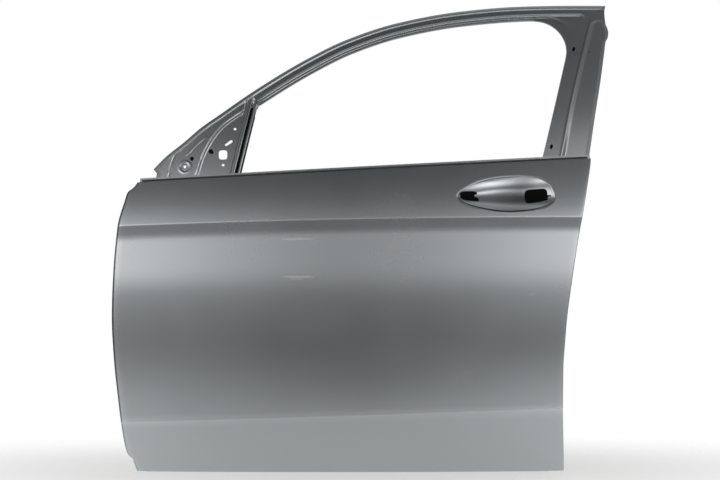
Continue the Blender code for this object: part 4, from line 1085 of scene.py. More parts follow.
def boss_relief(radius):
    """The dished boss of the mirror screw, at a distance from its centre."""
    height = 0.0007 * hump(radius - MIRROR_BOSS_RADIUS, 0.0022)
    height -= 0.0008 * smooth((MIRROR_BOSS_RADIUS - 0.0012 - radius) / 0.0030)
    return height + 0.0006 * hump(radius - 0.45 * MIRROR_BOSS_RADIUS, 0.0018)


def sail_relief(x, z, settings):
    """Height of the mirror corner's pressed lines above its base surface."""
    one = line_distance(groove_one, x, z)
    two = line_distance(groove_two, x, z)
    three = line_distance(ridge_three, x, z)
    depth = settings.groove_depth
    height = PLATE_STEP * (1.0 - smooth((one - 0.002) / 0.004)) - SAIL_DEPTH
    height += lipped(one, -depth, *GROOVE_ONE_SHAPE) * smooth((GROOVE_ONE_END - z) / 0.012)
    height += lipped(two, -depth / 2, *GROOVE_TWO_SHAPE) * smooth((GROOVE_TWO_END - z) / 0.010)
    low, high = RIDGE_THREE_ENDS
    ends = smooth((z - low) / 0.003) * smooth((high - z) / 0.003)
    height += (0.0011 * hump(three, 0.0018) - 0.0006 * hump(three - 0.0034, 0.0014)) * ends
    height += 0.0008 * hump(math.hypot(x - PIP[0], z - PIP[1]), 0.0022)
    height += boss_relief(math.hypot(x - MIRROR_BOSS[0], z - MIRROR_BOSS[1]))
    back = division_line(z) - x
    if back < sum(STRIP_BLEND):
        start, width = STRIP_BLEND
        ripple = 0.0006 * math.sin(z * 190.0) * smooth((back - 0.022) / 0.003)
        height = mix(STRIP_HEIGHTS(back + ripple), height, smooth((back - start) / width))
    return height


# Header: places of its second and third lines below the roof, and where they end along X
LINE_TWO = 0.0253
LINE_TWO_HOOK = 0.0050
LINE_THREE = 0.0312
LINE_THREE_FALL = 0.0200
LINE_THREE_END = 1.142
FALL_START = 1.070
BAND_EDGE = 0.0072
PILLAR_FOOT = (0.900, 0.140, 0.0024)


def frame_relief(kind, x, z, settings):
    """Height of the outer frame sheet above its base surface."""
    depth = roof_distance(x, z)
    bead = settings.bead_height
    line = HEADER_HEIGHTS(depth) * bead / 0.0018
    seam = seam_distance(x, z)
    if kind in ("foot", "sail"):
        near = smooth(seam / 0.060)
        plate = sail_relief(x, z, settings) * smooth((depth - BAND_EDGE) / 0.0030)
        return line * (1.0 - 0.60 * near) + plate * smooth(seam / 0.012)
    start = smooth(-seam / 0.014)
    hook = LINE_TWO_HOOK * smooth((x - HEADER_LINE_END + 0.006) / 0.008)
    end = smooth((HEADER_LINE_END + 0.004 - x) / 0.0035)
    height = line + 0.85 * bead * hump(depth - LINE_TWO - hook, 0.0024) * start * end
    if kind in ("header", "corner"):
        fall = LINE_THREE + LINE_THREE_FALL * smooth((x - FALL_START) / 0.062)
        width = 0.0022 + 0.0030 * smooth((x - FALL_START) / 0.050)
        spread = smooth((LINE_THREE_END - x) / 0.050) * start
        height += 0.0010 * hump(depth - fall, width) * spread
        if kind == "header":
            height += 0.0008 * smooth((depth - HEADER_WIDTH + 0.0036) / 0.0036) * start
    if kind in ("corner", "pillar", "below"):
        inside = trim_distance(x, z)
        height += 0.0006 * hump(inside + 0.0020, 0.0026)
        height -= 0.0005 * hump(inside - 0.0020, 0.0018)
        top, run, drop = PILLAR_FOOT
        foot = smooth((top - z) / run)
        height -= (settings.pillar_recess + drop * foot) * smooth(inside / 0.0090)
    return height


# Stations round the frame: how many each stretch has, and the places where it changes
FOOT_RISE = 0.012
NOTCH_RISE = 0.026
NOTCH_DEPTH = 0.0040
FOOT_STATIONS = 16
NOTCH_STATIONS = 9
SAIL_STEPS = 18
HEADER_STATIONS = 84
CORNER_STEPS = 9
PILLAR_STATIONS = 62
CORNER_ROOF_X = (1.035, 1.072, 1.105, 1.142, 1.182, ROOF_LINE[-1][0])
CORNER_PILLAR_Z = (1.124, 1.084, 1.040)
SAIL_EASE = (0.872, 0.022)
BELOW_DROPS = (0.0125, 0.024, 0.034, 0.045, 0.055)
WINDOW_EDGE_GAP = 0.0015


def window_corner_centre():
    z = roof_line(1.05) - HEADER_WIDTH - WINDOW_EDGE_GAP - WINDOW_CORNER
    lean = math.atan(PILLAR_LEAN)
    return Vector((window_line(z) - WINDOW_CORNER / math.cos(lean), z))


def frame_stations():
    """Each station round the frame: its outer point, its window point and what it crosses."""
    stations = []

    def add(kind, outer, inner):
        stations.append((Vector(outer), Vector(inner), kind))

    belt = belt_line(FOOT_X)
    for k in range(FOOT_STATIONS):
        z = belt - FOOT_DROP + (FOOT_DROP + FOOT_RISE) * k / (FOOT_STATIONS - 1)
        add("foot", (FOOT_X, z), (division_line(z), z))
    start_x = SAIL_STATIONS[0]
    for k in range(1, NOTCH_STATIONS):
        share = k / NOTCH_STATIONS
        x = mix(FOOT_X, start_x, share) + NOTCH_DEPTH * math.sin(math.pi * share)
        z = belt + mix(FOOT_RISE, NOTCH_RISE, share)
        add("foot", (x, mix(belt + FOOT_RISE, roof_line(start_x), share)), (division_line(z), z))
    runs = len(SAIL_STATIONS) - 1
    corner = Vector(SAIL_SEAM[1])
    start, width = SAIL_EASE
    for k in range(runs * SAIL_STEPS + 1):
        n = min(k // SAIL_STEPS, runs - 1)
        x = mix(SAIL_STATIONS[n], SAIL_STATIONS[n + 1], (k - n * SAIL_STEPS) / SAIL_STEPS)
        z = mix(belt + NOTCH_RISE, corner.y, k / (runs * SAIL_STEPS))
        inner = Vector((division_line(z), z)).lerp(corner, smooth((z - start) / width))
        add("sail", (x, roof_line(x)), inner)
    for k in range(HEADER_STATIONS + 1):
        x = mix(SAIL_SEAM[0][0], CORNER_ROOF_X[0], k / HEADER_STATIONS)
        outer = Vector((x, roof_line(x)))
        inward = Vector((slope_of(roof_line, x), -1.0)).normalized()
        add("header", outer, outer + inward * HEADER_WIDTH)
    centre = window_corner_centre()
    lean = math.degrees(math.atan(PILLAR_LEAN))
    outers = [Vector((x, roof_line(x))) for x in CORNER_ROOF_X]
    outers += [Vector((pillar_edge(z), z)) for z in CORNER_PILLAR_Z]
    turns = len(outers) - 1
    for k in range(1, turns * CORNER_STEPS + 1):
        n = min((k - 1) // CORNER_STEPS, turns - 1)
        spot = outers[n].lerp(outers[n + 1], (k - n * CORNER_STEPS) / CORNER_STEPS)
        on_pillar = n >= len(CORNER_ROOF_X) - 1
        spot = (pillar_edge(spot.y), spot.y) if on_pillar else (spot.x, roof_line(spot.x))
        turn = math.radians(mix(90.0, -lean, k / (turns * CORNER_STEPS)))
        add("corner", spot, centre + Vector((math.cos(turn), math.sin(turn))) * WINDOW_CORNER)
    low = belt_line(PILLAR_EDGE[1][1]) + 0.003
    for k in range(1, PILLAR_STATIONS + 1):
        z = mix(CORNER_PILLAR_Z[-1], low, k / PILLAR_STATIONS)
        add("pillar", (pillar_edge(z), z), (window_line(z), z))
    belt = belt_line(latch_wall(PILLAR_EDGE[1][0]))
    for drop in BELOW_DROPS:
        z = belt - drop
        add("below", (latch_wall(z) - SEAT_GAP - 0.0012, z), (window_line(z), z))
    return stations


BAND_COLUMNS = 60
PLATE_COLUMNS = 64
STRIP_COLUMNS = 56
RETURN_DEPTHS = (0.0006, 0.0016, 0.0040, 0.0075, 0.0110, WINDOW_RETURN)


def press_window_frame(settings):
    """The outer half of the window frame, from the sail's foot round to the latch pillar."""
    stations = frame_stations()
    last_sail = max(k for k, (_, _, kind) in enumerate(stations) if kind == "sail")

    def spot(kind, at, drop=None):
        height = frame_relief(kind, at.x, at.y, settings) if drop is None else drop
        return Vector((at.x, frame_y(at.x, at.y) - height, at.y))

    def sail_spot(station, column):
        outer, inner, kind = stations[station]
        inner = inner - Vector((STRIP_EDGE * smooth((0.890 - inner.y) / 0.006), 0.0))
        ease = smooth((inner.y - 0.850) / 0.040)
        strip = min(STRIP_WIDTH, (inner - outer).length * 0.8)
        level = inner - Vector((strip, 0.0))
        first = level.lerp(inner + (outer - inner).normalized() * strip, ease)
        if column > BAND_COLUMNS + PLATE_COLUMNS:
            share = (column - BAND_COLUMNS - PLATE_COLUMNS) / STRIP_COLUMNS
            return spot(kind, first.lerp(inner, share))
        width = (first - outer).length
        reach = min(HEADER_WIDTH, width * 0.6)
        if column <= BAND_COLUMNS:
            distance = reach * column / BAND_COLUMNS
        else:
            distance = mix(reach, width, (column - BAND_COLUMNS) / PLATE_COLUMNS)
        return spot(kind, outer + (first - outer).normalized() * distance)

    def place(column, station):
        outer, inner, kind = stations[station]
        if kind in ("foot", "sail"):
            return sail_spot(station, column)
        across = (inner - outer).normalized()
        width = (inner - outer).length
        if column <= BAND_COLUMNS:
            return spot(kind, outer + across * (width * column / BAND_COLUMNS))
        extra = column - BAND_COLUMNS
        if extra <= len(RETURN_DEPTHS) and kind != "below":
            drop = RETURN_DEPTHS[extra - 1]
            ease = 0.0008 * (1.0 - smooth(drop / 0.0016))
            return spot(kind, outer + across * (width + 0.0006 - ease), -drop)
        return None

    columns = BAND_COLUMNS + PLATE_COLUMNS + STRIP_COLUMNS + 1
    bm, points = grid_bm(columns, len(stations), place)
    ends = {points[key] for key in points if key[1] in (last_sail, last_sail + 1)}
    joint = [face for face in bm.faces if all(vert in ends for vert in face.verts)]
    bmesh.ops.delete(bm, geom=joint, context="FACES_ONLY")
    loose = [edge for edge in bm.edges if not edge.link_faces]
    bmesh.ops.delete(bm, geom=loose, context="EDGES")
    return mesh_from(bm, "window_frame_sheet")


def face_y(z):
    return FACE_BOTTOM_Y + FACE_LEAN * z


INNER_STEPS = 4


def press_inner_frame():
    """The frame's inner half: a box behind the outer half, and a tab down the pan at each end."""
    stations = frame_stations()
    belt = belt_line(FOOT_X)
    seat = FRAME_SHEET + SEAT_GAP

    def box_depth(at):
        rise = max(0.0, at.y - belt_line(at.x))
        near = face_y(at.y) - SEAT_GAP - FRAME_SHEET - 0.0006 - frame_y(at.x, at.y)
        return mix(near, FRAME_BOX_DEPTH, min(1.0, rise / 0.200))

    def corner_spot(station, k):
        outer, inner, kind = stations[station]
        across = (inner - outer).normalized()
        width = HEADER_WIDTH if kind in ("foot", "sail") else (inner - outer).length
        far = width - seat - FRAME_SHEET - (2 * SEAT_GAP if kind == "corner" else 0.0)
        flange = [FRAME_FLANGE + step for step in (0.0, 0.003, 0.008)]
        reach = (0.0006, *flange, far - 0.007, far, far)[k]
        share = (0.0, 0.0, 0.7, 1.0, 1.0, 0.75, 0.0)[k]
        at = outer + across * reach
        if kind == "below" or (kind == "foot" and at.y < belt):
            x = min(at.x, latch_wall(at.y) - PAN_CORNER - 0.001)
            return Vector((x, face_y(at.y) - SEAT_GAP - FRAME_SHEET, at.y))
        depth = mix(seat, box_depth(at), share)
        if k == 6:
            depth = WINDOW_RETURN / 2
        return Vector((at.x, frame_y(at.x, at.y) + depth, at.y))

    def place(column, station):
        outer, _, kind = stations[station]
        k = min(column // INNER_STEPS, 5)
        share = column / INNER_STEPS - k
        if kind == "below" or (kind == "foot" and outer.y < belt):
            if not 3 * INNER_STEPS <= column <= 4 * INNER_STEPS:
                return None
        return corner_spot(station, k).lerp(corner_spot(station, k + 1), share)

    return grid_mesh("window_frame_inner_sheet", 6 * INNER_STEPS + 1, len(stations), place)


STUD_HOLE = (0.1872, 0.7633, 0.0100)
KEYHOLE = (0.2335, 0.7813)
KEYHOLE_TURN = math.radians(-51.0)


def keyhole(inset):
    """A round hole with a narrower tail, drawn in by the inset."""
    centre = Vector(KEYHOLE)
    radius = 0.0058 - inset
    half = 0.0034 - inset
    tail = centre + Vector((math.cos(KEYHOLE_TURN), math.sin(KEYHOLE_TURN))) * 0.0096
    gap = math.asin(half / radius)
    points = []
    for k in range(21):
        turn = KEYHOLE_TURN + mix(gap, 2 * math.pi - gap, k / 20)
        points.append(tuple(centre + Vector((math.cos(turn), math.sin(turn))) * radius))
    for k in range(9):
        turn = KEYHOLE_TURN + mix(-math.pi / 2, math.pi / 2, k / 8)
        points.append(tuple(tail + Vector((math.cos(turn), math.sin(turn))) * half))
    return points


ROUND_HOLES = (MIRROR_BOSS, (0.2644, 0.7477), (0.2920, 0.8373))
ROUND_HOLE = 0.0065
CABLE_WINDOW = ((0.2532, 0.7615), (0.2742, 0.7615), (0.2742, 0.7845), (0.2532, 0.7845))
CABLE_WINDOW_RADIUS = 0.0015
# Place, width, height and lean of each slot
FRAME_SLOTS = (
    (0.2768, 0.8017, 0.0072, 0.0222, 1.55),
    (1.1351, 1.0418, 0.0062, 0.0112, 0.35),
    (1.0698, 0.7931, 0.0066, 0.0118, 0.35),
)


def frame_openings():
    cuts = [circle(x, z, ROUND_HOLE) for x, z in ROUND_HOLES]
    cuts += [circle(*STUD_HOLE), keyhole(0.0), rounded(CABLE_WINDOW, CABLE_WINDOW_RADIUS)]
    return cuts + [slanted_slot(*slot) for slot in FRAME_SLOTS]


# The inner panel
def hinge_wall(z):
    if z < HINGE_WALL_LOW_Z:
        rise = (z - PAN_FLOOR_Z) / (HINGE_WALL_LOW_Z - PAN_FLOOR_Z)
        return mix(HINGE_WALL_FOOT_X, HINGE_WALL_X, max(0.0, rise))
    if z > HINGE_WALL_HIGH_Z:
        rise = (z - HINGE_WALL_HIGH_Z) / (BELT_FRONT_Z - HINGE_WALL_HIGH_Z)
        return mix(HINGE_WALL_X, HINGE_WALL_TOP_X, rise)
    return HINGE_WALL_X


FOOT_TURNS = (0, 30, 60, 90)
CORNER_TURNS = (0, 18, 36, 54, 72, 90)
FACE_CELLS = 168
FACE_ROWS = 118
FLANGE_STEP = 0.0080
FLANGE_END = 0.0110
BOTTOM_STEPS = (HEM_RADIUS, 0.0060, 0.0120, 0.0180)
TOP_STEPS = (0.0095, 0.0060, PAN_TOP_GAP)
TOP_ROW = 0.014
# Columns at each side where the pan stops short of the belt
TOP_INSET = 17


def wall_steps(foot, top, side):
    """Steps up a wall of the pan: the place, what it is measured from, and how far from that."""
    steps = []
    for turn in FOOT_TURNS:
        angle = math.radians(turn)
        place = foot - side * FOOT_RADIUS * (1.0 - math.sin(angle))
        steps.append((place, "skin", FOOT_RADIUS * (1.0 - math.cos(angle))))
    for turn in CORNER_TURNS:
        angle = math.radians(turn)
        place = top + side * PAN_CORNER * (1.0 - math.cos(angle))
        steps.append((place, "face", PAN_CORNER * (1.0 - math.sin(angle))))
    return steps


def pan_columns(z):
    """The pan's columns at a height, from the front flange over the face to the rear flange."""
    hinge, latch = hinge_wall(z), latch_wall(z)
    front = [(front_edge(z) + step, "skin", 0.0) for step in FRONT_STEPS + (FLANGE_END,)]
    rear = [(rear_edge(z) - step, "skin", 0.0) for step in (FLANGE_END, FLANGE_STEP) + REAR_STEPS]
    first, last = hinge + PAN_CORNER, latch - PAN_CORNER
    face = [(mix(first, last, k / FACE_CELLS), "face", 0.0) for k in range(1, FACE_CELLS)]
    end = wall_steps(latch, latch, -1.0)[::-1]
    return front + wall_steps(hinge, hinge, 1.0) + face + end + rear


def pan_rows(x):
    """The pan's rows at a place along X, from its bottom flange to the belt."""
    top = PAN_FLOOR_Z + PAN_FLOOR_RISE
    belt = belt_line(x)
    low, high = top + PAN_CORNER, belt - TOP_ROW
    levels = [mix(low, high, k / FACE_ROWS) for k in range(1, FACE_ROWS + 1)]
    levels += [belt - step for step in TOP_STEPS]
    flange = [(step, "skin", 0.0) for step in BOTTOM_STEPS]
    return flange + wall_steps(PAN_FLOOR_Z, top, 1.0) + [(z, "face", 0.0) for z in levels]


def outline_distance(outline, x, z):
    """Distance from a closed outline; below zero inside it."""
    place = Vector((x, z))
    near = math.inf
    inside = False
    for k, end in enumerate(outline):
        a, b = Vector(outline[k - 1]), Vector(end)
        near = min(near, bead_distance(place, a, b))
        if (a.y > z) != (b.y > z) and x < a.x + (z - a.y) / (b.y - a.y) * (b.x - a.x):
            inside = not inside
    return -near if inside else near


# Pressed beads of the face: outlines by their corners, straight beads by their ends
SERVICE_BEAD = (
    (0.385, 0.185),
    (0.885, 0.185),
    (0.942, 0.330),
    (0.882, 0.535),
    (0.455, 0.535),
    (0.368, 0.365),
)
FRONT_BEAD = ((0.118, 0.318), (0.352, 0.318), (0.378, 0.575), (0.146, 0.575))
SERVICE_BEAD_RADIUS = 0.060
FRONT_BEAD_RADIUS = 0.045
# Height and width of a bead; height, edge and run of a raised step
OUTLINE_BEAD = (0.0032, 0.0078)
STRAIGHT_BEAD = (0.0030, 0.0085)
SPEAKER_RING = (0.0030, 0.020, 0.010)
DIMPLE = (0.0016, 0.013, 0.007)
LONG_BEADS = (
    ((0.150, 0.068), (1.000, 0.080)),
    ((0.430, 0.118), (0.960, 0.126)),
    ((0.470, 0.590), (0.860, 0.606)),
    ((0.985, 0.180), (0.990, 0.330)),
    ((1.030, 0.200), (1.032, 0.330)),
)
DIMPLES = (
    (0.115, 0.600),
    (0.400, 0.640),
    (0.700, 0.655),
    (1.020, 0.640),
    (1.030, 0.110),
    (0.400, 0.085),
    (0.090, 0.090),
)


def bead_distance(place, start, end):
    """Distance from a straight bead."""
    along = end - start
    share = min(max((place - start).dot(along) / along.length_squared, 0.0), 1.0)
    return (place - start - along * share).length


def face_relief(x, z, outlines):
    """How far the face is pressed towards the cabin."""
    place = Vector((x, z))
    beads = [(outline_distance(outline, x, z), *OUTLINE_BEAD) for outline in outlines]
    for start, end in LONG_BEADS:
        beads.append((bead_distance(place, Vector(start), Vector(end)), *STRAIGHT_BEAD))
    steps = [(math.hypot(x - SPEAKER[0], z - SPEAKER[1]) - SPEAKER[2] / 2, *SPEAKER_RING)]
    steps += [((place - Vector(spot)).length, *DIMPLE) for spot in DIMPLES]
    heights = [height * hump(distance, width) for distance, height, width in beads]
    heights += [height * smooth((edge - distance) / run) for distance, height, edge, run in steps]
    return max(heights)


def press_inner_panel():
    """The pan behind the skin, as one open surface: flange, walls and a face with beads."""
    columns = len(pan_columns(WIDEST_Z))
    rows = len(pan_rows(PLAN_MIDDLE_X))
    outlines = (
        rounded(SERVICE_BEAD, SERVICE_BEAD_RADIUS, 5),
        rounded(FRONT_BEAD, FRONT_BEAD_RADIUS, 5),
    )

    def place(column, row):
        if row >= rows - len(TOP_STEPS) and not TOP_INSET <= column <= columns - TOP_INSET:
            return None
        x = PLAN_MIDDLE_X
        for _ in range(4):
            z, upward, up_reach = pan_rows(x)[row]
            x, across, side_reach = pan_columns(z)[column]
        low = skin_point(x, z, PAN_DEPTH)
        high = face_y(z)
        sides = high - side_reach if across == "face" else low.y + side_reach
        floor = high - up_reach if upward == "face" else low.y + up_reach
        if across == "skin" and side_reach == 0.0 or upward == "skin" and up_reach == 0.0:
            return low
        y = min(sides, floor)
        if side_reach == 0.0 and up_reach == 0.0:
            near = min(x - hinge_wall(z), latch_wall(z) - x, z - PAN_FLOOR_Z, belt_line(x) - z)
            y += face_relief(x, z, outlines) * smooth((near - 0.014) / 0.012)
        return Vector((x, y, z))

    return grid_mesh("inner_panel_sheet", columns, rows, place)


def slot_outline(y, z, width, height):
    half, tall = width / 2, height / 2
    corners = [(y + a * half, z + b * tall) for a, b in CORNER_SIGNS]
    return rounded(corners, half * 0.6, 4)


def wall_middle_y(x, z):
    """Half-way across a wall of the pan that stands at x."""
    foot = skin_y(x, z) + PAN_DEPTH + 0.006
    return (foot + face_y(z) - PAN_CORNER) / 2


def panel_wall_cuts():
    """Openings through the pan's two end walls."""
    front = (HINGE_WALL_X - 0.020, HINGE_WALL_X + PAN_CORNER / 2)
    cuts = []
    for z in HINGE_HEIGHTS:
        middle = wall_middle_y(HINGE_WALL_X, z)
        for step in (-HINGE_BOLT_SPACING / 2, HINGE_BOLT_SPACING / 2):
            cuts.append((circle(middle, z + step, HINGE_BOLT_HOLE), *front))
    z, width, height = CHECK_SLOT
    cuts.append((slot_outline(wall_middle_y(HINGE_WALL_X, z), z, width, height), *front))
    z, diameter = GROMMET
    cuts.append((circle(wall_middle_y(HINGE_WALL_X, z), z, diameter, 32), *front))
    z, width, height = LATCH_SLOT
    y = wall_middle_y(latch_wall(z), z)
    rear = (latch_wall(z) - 0.020, latch_wall(z) + 0.020)
    cuts.append((slot_outline(y, z, width, height), *rear))
    for step, rise in LATCH_SCREWS:
        cuts.append((circle(y + step, z + rise, LATCH_SCREW_HOLE, 16), *rear))
    return cuts


# Materials
def join_up(tree, socket, value):
    """Join an input to another node's output, or set it to a value."""
    if isinstance(value, bpy.types.NodeSocket):
        tree.links.new(value, socket)
    else:
        socket.default_value = value


def fill(tree, made, **inputs):
    """Fill a node's inputs by their names."""
    for name, value in inputs.items():
        join_up(tree, made.inputs[name.replace("_", " ")], value)
    return made


def node(tree, kind, **inputs):
    return fill(tree, tree.nodes.new(kind), **inputs)


def calculate(tree, operation, *values):
    made = tree.nodes.new("ShaderNodeMath")
    made.operation = operation
    for socket, value in zip(made.inputs, values):
        join_up(tree, socket, value)
    return made.outputs[0]


def times(tree, first, second):
    return calculate(tree, "MULTIPLY", first, second)


def plus(tree, first, second):
    return calculate(tree, "ADD", first, second)


def spread(tree, value, start, end, low=0.0, high=1.0, kind="SMOOTHSTEP"):
    """The value's way from start to end, turned into a way from low to high."""
    made = node(tree, "ShaderNodeMapRange", Value=value, From_Min=start, From_Max=end)
    made.interpolation_type = kind
    return fill(tree, made, To_Min=low, To_Max=high).outputs["Result"]


def band(tree, value, low, high):
    """1 where the value is between low and high, with soft ends."""
    return times(tree, spread(tree, value, *low), spread(tree, value, *high))


def blend(tree, share, first, second, kind="RGBA"):
    made = tree.nodes.new("ShaderNodeMix")
    made.data_type = kind
    return fill(tree, made, Factor=share, A=first, B=second).outputs["Result"]


def mixed(tree, share, first, second):
    """Two surfaces mixed by a share."""
    made = node(tree, "ShaderNodeMixShader", Fac=share)
    join_up(tree, made.inputs[1], first)
    join_up(tree, made.inputs[2], second)
    return made.outputs[0]


def noise(tree, place, scale, detail, roughness=0.5):
    made = node(tree, "ShaderNodeTexNoise", Vector=place, Scale=scale)
    return fill(tree, made, Detail=detail, Roughness=roughness).outputs["Fac"]


def axes(tree, place):
    return node(tree, "ShaderNodeSeparateXYZ", Vector=place).outputs


def new_material(name):
    material = bpy.data.materials.new(name)
    material.use_nodes = True
    return material, material.node_tree, material.node_tree.nodes["Principled BSDF"]


def tinted(colour, factor):
    return (*[min(c * factor, 1.0) for c in colour], 1.0)


# Faint pale streaks on the skin: along X from and to, height, thickness
PALE_STREAK_LINES = (
    (0.405, 0.500, 0.5660, 0.0030),
    (0.408, 0.498, 0.4755, 0.0034),
    (0.430, 0.470, 0.4700, 0.0020),
)
STREAK_FADE = 0.03
STREAK_COLOUR = (0.85, 0.87, 0.88, 1.0)
STREAK_SHARE = 0.32
MARK_ROUGHNESS = 0.10
SILL_PAINTED_SHEEN = 1.18
MOTTLE = 0.06
FLAKE_SHARE = 0.45
ROUGHNESS_SPREAD = 0.03
COAT_ROUGHNESS = 0.10
WHITE = (1.0, 1.0, 1.0, 1.0)


def pale_streak_mask(tree, place):
    """Faint streaks with broken ends."""
    parts = axes(tree, place)
    wander = times(tree, plus(tree, noise(tree, place, 90.0, 3.0), -0.5), 0.004)
    height = plus(tree, parts["Z"], wander)
    total = 0.0
    for start, end, level, thick in PALE_STREAK_LINES:
        start, end, level = start + ORIGIN.x, end + ORIGIN.x, level + ORIGIN.z
        along = band(tree, parts["X"], (start, start + STREAK_FADE), (end, end - STREAK_FADE))
        across = band(tree, height, (level - thick, level), (level + thick, level))
        total = plus(tree, times(tree, along, across), total)
    return total


def sill_mask(tree, place):
    """1 below the step line along the door's foot, where the paint gets a painted lighter
    reflection, more roughness and a fine grain.
    """
    parts = axes(tree, place)
    line = plus(tree, times(tree, parts["X"], STEP_SLOPE), step_line(-ORIGIN.x) + ORIGIN.z)
    return spread(tree, calculate(tree, "SUBTRACT", line, parts["Z"]), 0.0006, 0.0030)


def metal_paint(name, colour, roughness, metallic, coat, flake, peel, marked=False):
    """Metallic paint: fine flakes, a slow ripple of the clear coat and, where marked, faint pale
    streaks and a painted lighter reflection below the step line.
    """
    material, tree, shader = new_material(name)
    place = tree.nodes.new("ShaderNodeTexCoord").outputs["Object"]
    cells = node(tree, "ShaderNodeTexVoronoi", Vector=place, Scale=1.0 / flake)
    bright = node(tree, "ShaderNodeSeparateColor", Color=cells.outputs["Color"]).outputs["Red"]
    slow = noise(tree, place, 5.0, 4.0, 0.55)
    bright, cloud = times(tree, bright, FLAKE_SHARE), times(tree, slow, 1.0 - FLAKE_SHARE)
    dark, pale = tinted(colour, 1.0 - MOTTLE), tinted(colour, 1.0 + MOTTLE)
    tone = blend(tree, plus(tree, bright, cloud), dark, pale)
    smooth_end, rough_end = roughness - ROUGHNESS_SPREAD, roughness + ROUGHNESS_SPREAD
    dull = spread(tree, slow, 0.0, 1.0, smooth_end, rough_end, "LINEAR")
    relief = times(tree, noise(tree, place, 1.0 / peel, 1.0), 0.3)
    if marked:
        sill, pale_streaks = sill_mask(tree, place), pale_streak_mask(tree, place)
        # Painted reflection: below the step line the paint is made lighter
        tone = blend(tree, sill, tone, tinted(colour, SILL_PAINTED_SHEEN))
        tone = blend(tree, times(tree, pale_streaks, STREAK_SHARE), tone, STREAK_COLOUR)
        dull = plus(tree, dull, times(tree, plus(tree, sill, pale_streaks), MARK_ROUGHNESS))
        grain = times(tree, sill, noise(tree, place, 900.0, 2.0))
        relief = plus(tree, relief, times(tree, grain, 0.5))
    bump = node(tree, "ShaderNodeBump", Strength=0.25, Distance=0.0002, Height=relief)
    fill(tree, shader, Base_Color=tone, Roughness=dull, Normal=bump.outputs["Normal"])
    fill(tree, shader, Metallic=metallic, Coat_Weight=coat, Coat_Roughness=COAT_ROUGHNESS)
    return material


# Plain finishes: colour, roughness, share of metal, clear coat
PLAIN_FINISHES = {
    # Near-black for pieces that stand in for shade in gaps and holes: painted shade
    "shade_black": ((0.004, 0.004, 0.004), 0.80, 0.0, 0.0),
    # Dark grey for the shadow in the corner under the belt fold: painted shade
    "painted_shade_sealer": ((0.050, 0.052, 0.054), 0.60, 0.0, 0.0),
    "beam_primer": ((0.28, 0.29, 0.30), 0.50, 0.60, 0.0),
    "zinc": ((0.56, 0.56, 0.55), 0.36, 1.0, 0.0),
}
ZINC_GRAIN = (0.0012, 0.003)
SHADE_BLACK_SHINE = 0.08


def material_for(key):
    """A finish by its name, made once."""
    if key in bpy.data.materials:
        return bpy.data.materials[key]
    paint = bpy.context.scene.door_paint
    grain = ZINC_GRAIN if key == "zinc" else (paint.flake, paint.peel)
    if key == "outer_paint":
        return metal_paint(key, paint.colour, 0.265, 0.92, 0.18, *grain, True)
    # The inner sheets: the same paint made darker as painted shade, and duller
    if key == "shaded_inner_paint":
        return metal_paint(key, paint.inside_shaded_colour, 0.42, 0.75, 0.10, *grain)
    made = metal_paint(key, *PLAIN_FINISHES[key], *grain)
    if key == "shade_black":
        shader = made.node_tree.nodes["Principled BSDF"]
        shader.inputs["Specular IOR Level"].default_value = SHADE_BLACK_SHINE
    return made


# Finish of each slot of the sheet-metal solids
SOLID_FINISHES = {
    "silver_paint": "outer_paint",
    "shaded_paint": "shaded_inner_paint",
    "beam_steel": "beam_primer",
    "nut_steel": "zinc",
}


class DOOR_OT_solid_finishes(bpy.types.Operator):
    """Give each sheet-metal solid that stays in view its finish"""

    bl_idname = "door.solid_finishes"
    bl_label = "Finish the solids"

    def execute(self, context):
        slots = {part["node"]: part["material_slot"] for part in frame["record"]["subparts"]}
        for name, solid in frame["nodes"].items():
            finish = material_for(SOLID_FINISHES[slots[name]])
            solid.data.materials.clear()
            solid.data.materials.append(finish)
        return {"FINISHED"}


class DOOR_OT_outer_skin(bpy.types.Operator):
    """Press the outer skin with its hems, feature lines and handle recess"""

    bl_idname = "door.outer_skin"
    bl_label = "Outer skin"

    def execute(self, context):
        settings = context.scene.door_skin
        sheet = press_skin(settings.recess_roll, settings.fold_steps)
        cuts = []
        for outline in (GRIP_OPENING, LOCK_OPENING):
            corners = [(RECESS_X + x, RECESS_Z + z) for x, z in outline]
            cuts.append(rounded(corners, OPENING_RADIUS, 3))
        mesh = pressed("door_skin", sheet, SKIN_SHEET, cuts, SKIN_CUT)
        add_piece("door_skin", mesh, "outer_paint", ["outer_skin"])
        return {"FINISHED"}


class DOOR_OT_inner_panel(bpy.types.Operator):
    """Press the inner panel with its walls, its beads and its openings"""

    bl_idname = "door.inner_panel"
    bl_label = "Inner panel"

    def execute(self, context):
        x, z, diameter = SPEAKER
        cuts = [
            circle(x, z, diameter, 64),
            rounded(SERVICE_HOLE, SERVICE_RADIUS, 6),
            rounded(FRONT_HOLE, FRONT_HOLE_RADIUS, 6),
            rounded(LATCH_HOLE, LATCH_HOLE_RADIUS, 6),
        ]
        sheet = press_inner_panel()
        mesh = pressed("inner_pan", sheet, PANEL_SHEET, cuts, PANEL_CUT, panel_wall_cuts())
        add_piece("inner_pan", mesh, "shaded_inner_paint", ["inner_panel"], SHARP_PANEL)
        return {"FINISHED"}


class DOOR_OT_window_frame(bpy.types.Operator):
    """Press the outer half of the window frame with its beads, grooves and openings"""

    bl_idname = "door.window_frame"
    bl_label = "Window frame"

    def execute(self, context):
        sheet = press_window_frame(context.scene.door_frame)
        mesh = pressed("frame_outer_half", sheet, FRAME_SHEET, frame_openings(), FRAME_CUT)
        replaced = ["window_frame_outer"]
        add_piece("frame_outer_half", mesh, "outer_paint", replaced, SHARP_FRAME)
        mesh = pressed("frame_inner_half", press_inner_frame(), FRAME_SHEET)
        replaced = ["window_frame_inner"]
        add_piece("frame_inner_half", mesh, "shaded_inner_paint", replaced, SHARP_PANEL)
        return {"FINISHED"}
